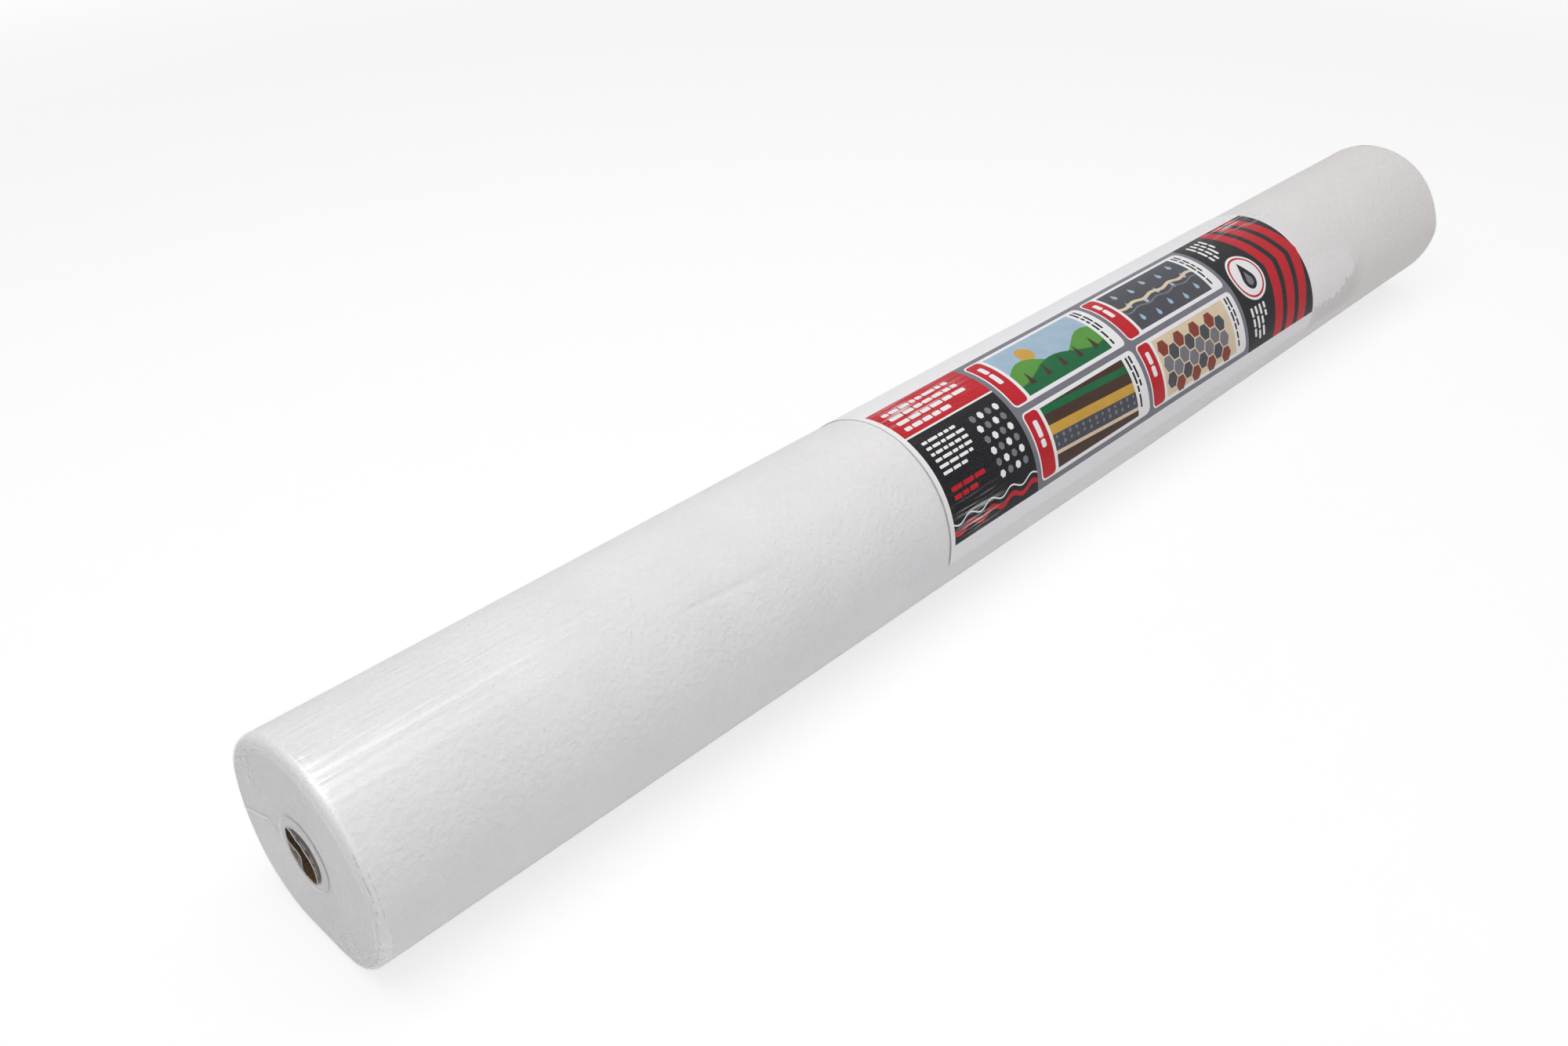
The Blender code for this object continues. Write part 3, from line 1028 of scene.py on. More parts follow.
@dataclass
class Core:
    """Spiral-wound cardboard tube, with the seam of its inner ply, and the tape that starts the web."""

    section: Section
    half_length: float = 0.5003
    wall_inset: float = 0.0004
    ply_lead: float = 0.11
    seam_depth: float = 0.00022
    seam_angle: float = math.radians(2.2)
    rows: int = 300
    sides: int = 72
    plies: int = 7
    ply_shares: tuple = (0.04, 0.92)
    ply_groove: float = 0.00016
    corner_drop: float = 0.0003
    sawn_rough: float = 0.04
    sawn_seed: int = 31
    tape_width: float = 0.025
    tape_setback: float = 0.02
    tape_thickness: float = 0.0001
    tape_off: float = 0.00004
    tape_tooth: float = 0.0012
    tape_columns: int = 13
    tape_rows: int = 60

    def walls(self) -> tuple[Array, Array]:
        """Lay out the tube's rows and columns.

        Returns:
            Places along the tube, and the angles of its columns, three of which make the seam's groove.
        """
        along = np.linspace(-1, 1, self.rows) * (self.half_length - self.wall_inset)
        spread = np.linspace(0, TURN, self.sides, endpoint=False) + self.seam_angle * 2
        spread = spread[spread < TURN - self.seam_angle]
        groove = np.array([-1.0, 0.0, 1.0]) * self.seam_angle
        return along, np.concatenate([groove, spread])

    def build(self) -> Object:
        """Build the tube.

        Returns:
            The piece.
        """
        along, columns = self.walls()
        depth = np.where(np.arange(len(columns)) == 1, self.seam_depth, 0)
        wound = TURN * along[:, None] / self.ply_lead + columns[None, :]
        bore = self.section.bore_radius + depth[None, :] * np.ones_like(wound)
        skin = self.section.core_radius - depth[None, :] * np.ones_like(wound)
        outside = self.section.point(along[:, None], skin, wound)
        inside = self.section.point(along[:, None], bore, wound)
        rings = [outside, *self.cut_end(End.FAR, wound[-1]), inside[::-1], *self.cut_end(End.NEAR, wound[0])]
        points = np.concatenate([ring.reshape(-1, len(columns), 3) for ring in rings])
        faces = quads(points.shape[0], len(columns), close_rows=True, close_columns=True)
        look = Kraft().material(self.half_length)
        return add_piece("cardboard_core", points, faces, [look], "core_tube")

    def cut_end(self, end: End, angles: Array) -> list[Array]:
        """Rings over a sawn end, which show the plies, outermost first at the far end.

        Args:
            end: Which end.
            angles: Angles of the columns there.

        Returns:
            One ring of points for each edge of a ply.
        """
        wall = self.section.core_radius - self.section.bore_radius
        chance = np.random.default_rng(self.sawn_seed + end.value)
        first, across = self.ply_shares
        edges = 2 * self.plies
        rings = []
        for step in range(edges + 1):
            share = first + across * step / edges
            groove = self.ply_groove if step % 2 else 0
            stand = self.half_length - groove - self.corner_drop * (step in (0, edges))
            rough = chance.uniform(-self.sawn_rough, self.sawn_rough, len(angles)) * MM
            radius = self.section.core_radius - wall * share
            rings.append(self.section.point(end.value * (stand + rough), radius, angles)[None])
        return rings if end is End.FAR else rings[::-1]

    def build_tape(self) -> Object:
        """Build the tape, whose two ends are pinked.

        Returns:
            The piece.
        """
        half = self.section.half_web - self.tape_setback
        radius = self.section.core_radius + self.tape_off
        columns = np.linspace(0, self.tape_width / radius, self.tape_columns)
        along = np.linspace(-1, 1, self.tape_rows)
        teeth = np.where(np.arange(self.tape_columns) % 2, self.tape_tooth, 0)
        x = along[:, None] * (half - teeth[None, :])
        angle = self.section.tail_angle + columns[None, :] + 0 * x
        sheets = [self.section.point(x, r, angle) for r in (radius, radius + self.tape_thickness)]
        count = x.size
        top = quads(*x.shape)
        index = np.arange(count).reshape(x.shape)
        border = np.concatenate([index[0, :-1], index[:-1, -1], index[-1, :0:-1], index[:0:-1, 0]])
        sides = [(a, b, b + count, a + count) for a, b in zip(border, np.roll(border, -1))]
        faces = [*top, *(top + count), *sides]
        look = Adhesive().material()
        return add_piece("starting_tape", np.concatenate(sheets), faces, [look], "core_tape")


# Web


@dataclass
class Web:
    """The fleece: one sheet wound in a spiral. The film bends its outermost turn in round both rims."""

    section: Section
    width: float = 1.0
    cut_length: float = 12.0
    coarse_steps: int = 72
    fine_steps: int = 360
    fine_turns: float = 1.05
    body_rows: int = 130
    rim_rows: int = 8
    edge_round: float = 0.00012
    core_gap: float = 0.0002
    set_back: float = 0.0007
    set_back_from: float = 0.0018
    set_back_reach: float = 0.0006
    bend_slack: float = 0.0003
    bend_start_turns: float = 0.04
    wavy_edge: Unevenness = Unevenness(0.5, 40, 4)
    wavy_share: float = 0.12
    streak_share: float = 0.6
    ragged_seed: int = 12
    ragged_count: int = 64
    ragged_turn: float = 0.05
    ragged_wave: float = 0.02
    waves_a_radian: float = 61
    sharp_angle: float = math.radians(50)
    folds: tuple = (
        Fold((-0.309, 128.9), (-0.245, 133.1), 0.0015, -0.0005),
        Fold((-0.318, 128.0), (-0.286, 130.2), 0.0012, -0.00034),
        Fold((-0.292, 129.6), (-0.262, 132.6), 0.0042, -0.0004),
        Fold((-0.365, 92.6), (-0.318, 94.2), 0.0014, -0.0003),
        Fold((-0.352, 97.5), (-0.322, 98.6), 0.0012, -0.00024),
        Fold((-0.288, 184.0), (-0.264, 186.4), 0.0055, -0.0007),
        Fold((-0.488, 173.0), (-0.476, 188.5), 0.0012, -0.0003),
    )

    @property
    def rim_outside(self) -> float:
        """Radius of the bend of the outermost turn's outer face round a rim."""
        return self.section.rim_radius - self.section.film_off

    @property
    def bend_start(self) -> float:
        """Distance from the middle of the roll where the bend round a rim starts."""
        return self.section.face - self.section.rim_radius

    @property
    def outer_points(self) -> int:
        """Points of a loop of the outermost turn that lie on the sheet's outer face."""
        return 2 * self.rim_rows + self.body_rows

    def wound(self, turns: Array) -> tuple[Array, Array]:
        """Angle and radius of the sheet's inner face after these turns."""
        angle = self.section.tail_angle + TURN * (turns - self.section.turns)
        return angle, self.section.start_radius + self.section.pitch * turns

    def half_width(self, turn: Array) -> Array:
        """Half the width over which an inner turn lies, less where the rim rounds off.

        Args:
            turn: Turns wound so far.

        Returns:
            Half widths.
        """
        under = self.section.film_off + (self.section.turns - turn) * self.section.pitch
        across = np.maximum(self.section.rim_radius - under, 0)
        bend = self.rim_outside - self.set_back * ramp(across, self.set_back_from, self.set_back_reach)
        return self.bend_start + np.sqrt(np.maximum(bend**2 - across**2, 0))

    def inner_loops(self, turns: Array) -> Array:
        """Loops round the sheet's section on the inner turns, six points each.

        Args:
            turns: Turns wound so far at each loop.

        Returns:
            Points of the loops.
        """
        angle, radius = self.wound(turns)
        slack = self.section.start_radius - self.section.core_radius - self.core_gap
        pressed = np.where(turns < 1, slack + self.section.pitch * turns, 0)
        offs = (-pressed, self.section.web_thickness / 2 - pressed / 2, self.section.web_thickness)
        radii = [self.section.layer(radius + off, angle) for off in offs]
        tucks = (self.edge_round, 0, self.edge_round)
        half = self.half_width(turns) + self.ragged(turns)
        near = [self.section.point(-(half - tuck), r, angle) for r, tuck in zip(radii, tucks)]
        far = [self.section.point(half - tuck, r, angle) for r, tuck in zip(radii, tucks)]
        return np.stack(near + far[::-1], axis=1)

    def ragged(self, turns: Array) -> Array:
        """How far an edge strays from its place, turn by turn and within each.

        Args:
            turns: Turns wound so far.

        Returns:
            Distances along the roll.
        """
        chance = np.random.default_rng(self.ragged_seed)
        each = chance.uniform(-self.ragged_turn, self.ragged_turn, self.ragged_count)
        strayed = np.interp(turns, np.arange(self.ragged_count), each) * MM
        return strayed + self.ragged_wave * MM * np.sin(turns * self.waves_a_radian)

    def outer_loops(self, turns: Array) -> Array:
        """Loops round the sheet's section on the outermost turn, with rows for its relief and bent rims.

        Args:
            turns: Turns wound so far at each loop.

        Returns:
            Points of the loops.
        """
        angle, radius = (values[:, None] for values in self.wound(turns))
        outside = self.section.layer(radius + self.section.web_thickness, angle)
        inside = self.section.layer(radius, angle)
        started = ramp(turns, turns[0], self.bend_start_turns)[:, None]
        bent = (self.width / 2 - self.bend_start) / (self.rim_outside - self.bend_slack) * started
        bent = bent * (1 + self.wavy_share * self.wavy_edge(0 * angle, angle))
        reach = np.linspace(1, 0, self.rim_rows + 1)[:-1]
        body = np.linspace(-1, 1, self.body_rows) * self.bend_start + 0 * angle
        lift = self.section.relief(body, angle) + self.dents(body, angle)
        streaks = Streaks(self.section.face)(body, angle)
        lift = lift + self.streak_share * streaks * self.section.off_floor(angle)
        outer = [
            self.rim(End.NEAR, outside, self.rim_outside, bent * reach, angle),
            self.section.point(body, outside + lift, angle),
            self.rim(End.FAR, outside, self.rim_outside, bent * reach[::-1], angle),
        ]
        tight = self.rim_outside - (outside - inside)
        inner = [
            self.rim(End.FAR, inside, tight, bent * reach, angle),
            self.section.point(np.array([[1, -1]]) * self.bend_start, inside, angle),
            self.rim(End.NEAR, inside, tight, bent * reach[::-1], angle),
        ]
        return np.concatenate([*outer, *inner], axis=1)

    def rim(self, end: End, radius: Array, bend: Array | float, turned: Array, angle: Array) -> Array:
        """Points of a face of the sheet, of this radius on the body, that turns round a bend at a rim."""
        x = end.value * (self.bend_start + bend * np.sin(turned))
        return self.section.point(x, radius - bend * (1 - np.cos(turned)), angle)

    def dents(self, x: Array, angle: Array) -> Array:
        """Sum of the folds pressed into the outermost turn."""
        wrapped = np.asarray(angle) % TURN
        return sum(fold(x, wrapped) for fold in self.folds)

    def build(self) -> Object:
        """Returns:
            The piece.
        """
        last_coarse = self.section.turns - self.fine_turns
        fine_count = int(self.fine_turns * self.fine_steps) + 1
        inner = self.inner_loops(np.arange(0, last_coarse, 1 / self.coarse_steps))
        outer = self.outer_loops(np.linspace(last_coarse, self.section.turns, fine_count))
        faces = list(quads(inner.shape[0], inner.shape[1], close_columns=True))
        first = inner.shape[0] * inner.shape[1]
        faces += list(quads(outer.shape[0], outer.shape[1], close_columns=True) + first)
        faces += self.join(first - inner.shape[1], first, outer.shape[1])
        faces.append(list(range(inner.shape[1])))
        faces += self.tail(first + (outer.shape[0] - 1) * outer.shape[1], outer.shape[1])
        points = np.concatenate([inner.reshape(-1, 3), outer.reshape(-1, 3)])
        look = Fleece((self.section.axis_y, self.section.axis_z)).material()
        web = add_piece("fleece_web", points, faces, [look], "geotextile_web")
        web.data.set_sharp_from_angle(angle=self.sharp_angle)
        keep_points(web, "drawn", Drawn(self.section)(points))
        return web

    def join(self, loop: int, wide: int, count: int) -> list[list[int]]:
        """Faces between the last loop of six points and the first one with the finer rows.

        Args:
            loop: First point of the loop of six.
            wide: First point of the finer loop.
            count: Points in the finer loop.

        Returns:
            Faces.
        """
        in_near, mid_near, out_near, out_far, mid_far, in_far = range(loop, loop + 6)
        outer = list(range(wide, wide + self.outer_points))
        inner = list(range(wide + self.outer_points, wide + count))
        return [
            [out_near, out_far, *outer[::-1]],
            [in_far, in_near, *inner[::-1]],
            [in_near, mid_near, out_near, outer[0], inner[-1]],
            [out_far, mid_far, in_far, inner[0], outer[-1]],
        ]

    def tail(self, loop: int, count: int) -> list[list[int]]:
        """Faces that close the sheet at its tail.

        Args:
            loop: First point of the last loop.
            count: Points in that loop.

        Returns:
            Faces.
        """
        top, rim = self.outer_points, self.rim_rows
        outer = list(range(loop, loop + top))
        inner = list(range(loop + top, loop + count))[::-1]
        near = [[outer[k], outer[k + 1], inner[k + 1], inner[k]] for k in range(rim)]
        far = [[outer[-k - 1], outer[-k - 2], inner[-k - 2], inner[-k - 1]] for k in range(rim)]
        return near + far + [[*outer[rim : top - rim], inner[rim + 1], inner[rim]]]


# Printed sheet


@dataclass
class Artwork:
    """Flat design of the printed sheet: closed outlines of one ink each, later ones on top. Millimetres,
    u along the roll from the sheet's near edge and v round it from the upper edge."""

    length: float
    width: float
    shapes: list = field(default_factory=list)

    def shape(self, ink: Ink, points: list) -> None:
        """Add an outline."""
        self.shapes.append((ink, [(float(u), float(v)) for u, v in points]))

    def box(self, ink: Ink, u: float, v: float, long: float, wide: float, corner: float = 0) -> None:
        """Add a rectangle.

        Args:
            ink: Its ink.
            u: Its nearer side.
            v: Its upper side.
            long: Its size along u.
            wide: Its size along v.
            corner: Radius of its corners.
        """
        if corner <= 0:
            self.shape(ink, [(u, v), (u + long, v), (u + long, v + wide), (u, v + wide)])
            return
        near, far, upper, lower = u + corner, u + long - corner, v + corner, v + wide - corner
        points = []
        for quarter, (cu, cv) in enumerate(((far, lower), (near, lower), (near, upper), (far, upper))):
            for step in range(6):
                bend = math.pi / 2 * (quarter + step / 5)
                points.append((cu + corner * math.cos(bend), cv + corner * math.sin(bend)))
        self.shape(ink, points)

    def disc(self, ink: Ink, u: float, v: float, radius: float, sides: int = 36) -> None:
        """Add a disc about this middle, or a polygon of few sides."""
        turns = [TURN * side / sides for side in range(sides)]
        self.shape(ink, [(u + radius * math.cos(a), v + radius * math.sin(a)) for a in turns])

    def drop(self, ink: Ink, u: float, v: float, size: float) -> None:
        """Add a water drop with its tip towards lower v.

        Args:
            ink: Its ink.
            u: Its middle along u.
            v: Its middle along v.
            size: Radius of its round part.
        """
        round_part = [math.radians(a) for a in range(-30, 211, 12)]
        points = [(u + size * math.cos(a), v + size * math.sin(a)) for a in round_part]
        self.shape(ink, [*points, (u, v - 2.1 * size)])

    def wave(self, ink: Ink, u: float, v: float, long: float, wide: float, form: tuple) -> None:
        """Add a wavy band.

        Args:
            ink: Its ink.
            u: Its nearer end.
            v: The middle of its upper side.
            long: Its length.
            wide: Its breadth.
            form: Height and length of its waves.
        """
        swell, period = form
        steps = max(int(long / period * 12), 6)
        along = [long * step / steps for step in range(steps + 1)]
        crest = [(u + s, v + swell * math.sin(TURN * s / period)) for s in along]
        self.shape(ink, crest + [(a, b + wide) for a, b in reversed(crest)])

    def bars(self, ink: Ink, u: float, v: float, rows: list, size: float, pitch: float, across: bool) -> None:
        """Add rows of plain bars, such as stand in for lines of small print.

        Args:
            ink: Their ink.
            u: Where the rows start along u.
            v: Where they start along v.
            rows: For each row, the bars' lengths, with negative numbers for gaps.
            size: Height of a bar.
            pitch: Distance between rows.
            across: Whether the rows run along v.
        """
        for row, parts in enumerate(rows):
            at = 0.0
            for part in parts:
                if part > 0:
                    place = (u + row * pitch, v + at) if across else (u + at, v + row * pitch)
                    sizes = (size, part) if across else (part, size)
                    self.box(ink, *place, *sizes, corner=min(size, part) * 0.3)
                at += abs(part)


def word_rows(seed: int, rows: int, length: float, shortest: float = 3, longest: float = 9) -> list:
    """Lengths of bars and gaps that fill rows as words do.

    Args:
        seed: Seed of the lengths.
        rows: Number of rows.
        length: Length of a full row.
        shortest: Shortest bar.
        longest: Longest bar.

    Returns:
        For each row, bars as positive and gaps as negative lengths.
    """
    chance = np.random.default_rng(seed)
    filled = []
    for row in range(rows):
        parts = []
        goal = length * (0.62 if row == rows - 1 else 0.97)
        while sum(map(abs, parts)) < goal - shortest:
            left = goal - sum(map(abs, parts))
            parts += [min(float(chance.uniform(shortest, longest)), left), -1.1]
        filled.append(parts)
    return filled


@dataclass(frozen=True)
class Picture:
    """A rectangle of the design, from its nearer upper corner, and what can be drawn in it."""

    art: Artwork
    u: float
    v: float
    long: float
    wide: float

    def at(self, along: float, down: float) -> tuple[float, float]:
        """The point at these shares of the rectangle's sides."""
        return self.u + self.long * along, self.v + self.wide * down

    def ground(self, ink: Ink, share: float = 1) -> None:
        """Fill the rectangle, or its upper share."""
        self.art.box(ink, self.u, self.v, self.long, self.wide * share)

    def fill_below(self, ink: Ink, heights: list[float]) -> None:
        """Fill the rectangle below a line.

        Args:
            ink: The ink.
            heights: How far down the line runs at even steps, as shares of the rectangle.
        """
        steps = len(heights) - 1
        line = [(self.u + self.long * k / steps, self.at(0, down)[1]) for k, down in enumerate(heights)]
        self.art.shape(ink, [*line, self.at(1, 1), self.at(0, 1)])

    def far_block(self) -> None:
        """Draw the black block at the sheet's far end, with red chevrons and a ringed drop."""
        art, u, v, low = self.art, self.u, self.v, self.v + self.wide
        middle = v + self.wide / 2
        self.ground(Ink.BLACK)
        for step in range(3):
            at = u + 34 + step * 17
            chevron = [(at, v), (at + 11, v), (at + 25, middle), (at + 11, low), (at, low), (at + 14, middle)]
            art.shape(Ink.RED, chevron)
        for ink, radius in ((Ink.PAPER, 18), (Ink.RED, 16.2), (Ink.PAPER, 14.6)):
            art.disc(ink, u + 24, middle, radius)
        art.drop(Ink.BLACK, u + 24, middle + 3, 7)
        art.drop(Ink.GREY, u + 24, middle + 3.6, 3.6)
        for seed, start in ((5, v + 5), (6, low - 29)):
            art.bars(Ink.PAPER, u + 9, start, word_rows(seed, 4, 24, 4, 9), 2.6, 5.4, True)

    def near_block(self) -> None:
        """Draw the red and black block at the sheet's near end."""
        art, u, long, low = self.art, self.u, self.long, self.v + self.wide
        band = self.v + self.wide * 0.3
        self.ground(Ink.BLACK)
        self.ground(Ink.RED, 0.3)
        art.box(Ink.PAPER, u, band, long, 1.2)
        art.bars(Ink.PAPER, u + 6, self.v + 6, word_rows(11, 4, long - 14, 4, 11), 3.0, 5.8, False)
        art.bars(Ink.PAPER, u + 6, band + 7, word_rows(12, 6, 34, 3, 8), 1.9, 4.1, False)
        art.bars(Ink.RED, u + 6, band + 37, word_rows(13, 2, 34, 5, 10), 2.8, 5, False)
        for column in range(4):
            for row in range(6):
                ink = Ink.PAPER if (column + row) % 2 else Ink.GREY
                art.disc(ink, u + 49 + column * 7.2, band + 10 + row * 7.2, 2.5, 6)
        for ink, rise, wide in ((Ink.RED, 9, 3.2), (Ink.PAPER, 13.2, 1.0)):
            art.wave(ink, u, low - rise, long, wide, (1.8, 19.5))

    def hills(self) -> None:
        """Draw green hills under a low sun, with three-cornered trees."""
        self.ground(Ink.SKY)
        self.art.disc(Ink.SAND, *self.at(0.3, 0.32), self.wide * 0.17)
        self.fill_below(Ink.LEAF, [0.55 - 0.16 * math.sin(step * 0.62) for step in range(15)])
        self.fill_below(Ink.GREEN, [0.7 + 0.12 * math.cos(step * 0.5) for step in range(15)])
        for step in range(5):
            top = self.at(0.12 + 0.19 * step, 0.6)
            foot = self.at(0, 0.86)[1]
            self.art.shape(Ink.SOIL, [top, (top[0] + 2.6, foot), (top[0] - 2.6, foot)])

    def rain(self) -> None:
        """Draw drops that pass through a woven grid."""
        self.ground(Ink.SLATE)
        for column in range(5):
            for row in range(3):
                u, v = self.at(0.12 + 0.19 * column, 0.2 + 0.31 * row)
                self.art.drop(Ink.SKY, u, v + (column % 2) * 2.4, 1.9)
        for ink, down, wide in ((Ink.CREAM, 0.46, 2.4), (Ink.GREY, 0.6, 1.2)):
            self.art.wave(ink, *self.at(0, down), self.long, wide, (0.9, self.long / 4))

    def strata(self) -> None:
        """Draw soil in slanting beds with pebbles."""
        self.ground(Ink.SOIL)
        beds = ((Ink.GREEN, 0, 0.12), (Ink.SAND, 0.3, 0.46), (Ink.SLATE, 0.46, 0.72), (Ink.CREAM, 0.72, 0.78))
        slant = 0.12
        for ink, low, high in beds:
            corners = ((0, low), (1, low + slant), (1, high + slant), (0, high))
            self.art.shape(ink, [self.at(*corner) for corner in corners])
        chance = np.random.default_rng(44)
        for step in range(26):
            along = (step % 13 + 0.5) / 13
            down = 0.52 + slant * along + 0.1 * (step // 13) + float(chance.uniform(-0.012, 0.012))
            size = float(chance.uniform(1.0, 1.5))
            self.art.disc(Ink.GREY, *self.at(along, down), size, 9)

    def paving(self) -> None:
        """Draw six-sided paving."""
        self.ground(Ink.CREAM)
        size = self.wide / 6.6
        inks = (Ink.BRICK, Ink.GREY, Ink.SLATE, Ink.GREY)
        for column in range(int((self.long - size) / (size * 1.6))):
            for row in range(3):
                u = self.u + size * 1.3 + column * size * 1.62
                v = self.v + size * (1.3 + 1.87 * row) + (column % 2) * size * 0.93
                self.art.disc(inks[(column * 2 + row) % 4], u, v, size * 0.98, 6)


@dataclass
class PrintedSheet:
    """Paper sheet laid on the web under the film, bent round it, and printed with a generic design. The
    sizes of the design and of the curled edge are in millimetres."""

    section: Section
    near: float = -0.1317
    length: float = 0.42
    width: float = 0.1485
    lower_angle: float = math.radians(189.2)
    bend_radius: float = 0.05789
    thickness: float = 0.00012
    stand_off: float = 0.00022
    curl_height: float = 0.00036
    curl_fade: float = 2.5
    curl_from: float = 40
    curl_reach: float = 60
    margin_near: float = 3.9
    margin_far: float = 1.0
    margin_upper: float = 37.0
    margin_lower: float = 12.0
    far_block: float = 92
    near_block: float = 78
    gap: float = 4
    cut_pitch: float = 10.0
    cut_pitch_round: float = 2.4

    def design(self) -> Artwork:
        """Draw the sheet's design.

        Returns:
            The design.
        """
        long, wide = self.length / MM, self.width / MM
        left, right, top = self.margin_near, long - self.margin_far, self.margin_upper
        high = wide - self.margin_upper - self.margin_lower
        art = Artwork(long, wide)
        art.box(Ink.PAPER, 0, 0, long, wide)
        art.box(Ink.GREY, left, top, right - left, high)
        Picture(art, right - self.far_block, top, self.far_block, high).far_block()
        Picture(art, left, top, self.near_block, high).near_block()
        start = left + self.near_block
        tile_long = (right - self.far_block - start - 3 * self.gap) / 2
        tile_wide = (high - 3 * self.gap) / 2
        for index, draw in enumerate((Picture.hills, Picture.rain, Picture.strata, Picture.paving)):
            u = start + self.gap + (index % 2) * (tile_long + self.gap)
            v = top + self.gap + (index // 2) * (tile_wide + self.gap)
            title = word_rows(70 + index, 1, tile_wide - 14, 5, 12)
            words = word_rows(80 + index, 2, tile_wide - 6)
            art.box(Ink.PAPER, u, v, tile_long, tile_wide, 4)
            art.box(Ink.RED, u + 1.2, v + 1.2, 13, tile_wide - 2.4, 3)
            art.bars(Ink.PAPER, u + 5.6, v + 7, title, 4.2, 6, True)
            draw(Picture(art, u + 17, v + 2.6, tile_long - 30, tile_wide - 5.2))
            art.bars(Ink.BLACK, u + tile_long - 10, v + 3, words, 1.9, 3.6, True)
        return art

    def surface(self, u: Array, v: Array, off: float) -> Array:
        """Points of the bent sheet.

        Args:
            u: Millimetres along the sheet from its near edge.
            v: Millimetres round from its upper edge.
            off: Distance off the web.

        Returns:
            Points.
        """
        x = self.near + u * MM
        angle = self.lower_angle - (self.width - v * MM) / self.bend_radius
        curl = self.curl_height * np.exp(-u / self.curl_fade) * ramp(v, self.curl_from, self.curl_reach)
        radius = self.section.outline(angle) + self.stand_off + off + curl
        return self.section.point(x, radius + self.section.relief(x, angle), angle)

    def build(self) -> Object:
        """Build the sheet, its design cut into it as faces of one ink each.

        Returns:
            The piece.
        """
        art = self.design()
        corners, edges, outlines = [], [], []
        for _, points in art.shapes:
            outlines.append(list(range(len(corners), len(corners) + len(points))))
            corners += [Vector(point) for point in points]
        round_it = np.arange(self.cut_pitch_round, art.width, self.cut_pitch_round).tolist()
        along = np.arange(self.cut_pitch, art.length, self.cut_pitch).tolist()
        cuts = [((0.0, v), (art.length, v)) for v in round_it] + [((u, 0.0), (u, art.width)) for u in along]
        for cut in cuts:
            edges.append((len(corners), len(corners) + 1))
            corners += [Vector(point) for point in cut]
        flat, _, triangles, _, _, sources = delaunay_2d_cdt(corners, edges, outlines, 1, 1e-5)
        flat = np.array([tuple(point) for point in flat])
        front = self.surface(flat[:, 0], flat[:, 1], self.thickness)
        back = self.surface(flat[:, 0], flat[:, 1], 0)
        flipped = [[corner + len(flat) for corner in reversed(face)] for face in triangles]
        sides = self.edge_faces(triangles, len(flat))
        used = list(Ink)
        looks = [PrintedPaper(ink).material() for ink in used]
        faces = [*triangles, *flipped, *sides]
        points = np.concatenate([front, back])
        sheet = add_piece("printed_sheet", points, faces, looks, "label_sheet")
        index = [used.index(art.shapes[max(source)][0]) for source in sources]
        index += [used.index(Ink.PAPER)] * (len(flipped) + len(sides))
        sheet.data.polygons.foreach_set("material_index", index)
        self.smooth(sheet, flat)
        return sheet

    @staticmethod
    def edge_faces(triangles: list, count: int) -> list:
        """Faces that join the front of the sheet to its back along its border.

        Args:
            triangles: Faces of the front.
            count: Points of the front.

        Returns:
            The joining faces.
        """
        met_once = {}
        for face in triangles:
            for a, b in zip(face, [*face[1:], face[0]]):
                key = (min(a, b), max(a, b))
                met_once[key] = None if key in met_once else (a, b)
        return [[b, a, a + count, b + count] for a, b in filter(None, met_once.values())]

    def smooth(self, sheet: Object, flat: Array) -> None:
        """Give the points the normals of the bent surface, so that thin faces don't show.

        Args:
            sheet: The piece.
            flat: The points before the sheet was bent.
        """
        step = 0.5
        u, v = flat[:, 0], flat[:, 1]
        along = self.surface(u + step, v, 0) - self.surface(u - step, v, 0)
        around = self.surface(u, v + step, 0) - self.surface(u, v - step, 0)
        normal = np.cross(along, around)
        normal /= np.linalg.norm(normal, axis=1)[:, None]
        axis = np.array([0, self.section.axis_y, self.section.axis_z])
        outwards = np.sign(np.sum(normal * (self.surface(u, v, 0) * [0, 1, 1] - axis), axis=1))
        normal *= outwards[:, None]
        sheet.data.normals_split_custom_set_from_vertices(np.concatenate([normal, -normal]).tolist())


# Film sleeve


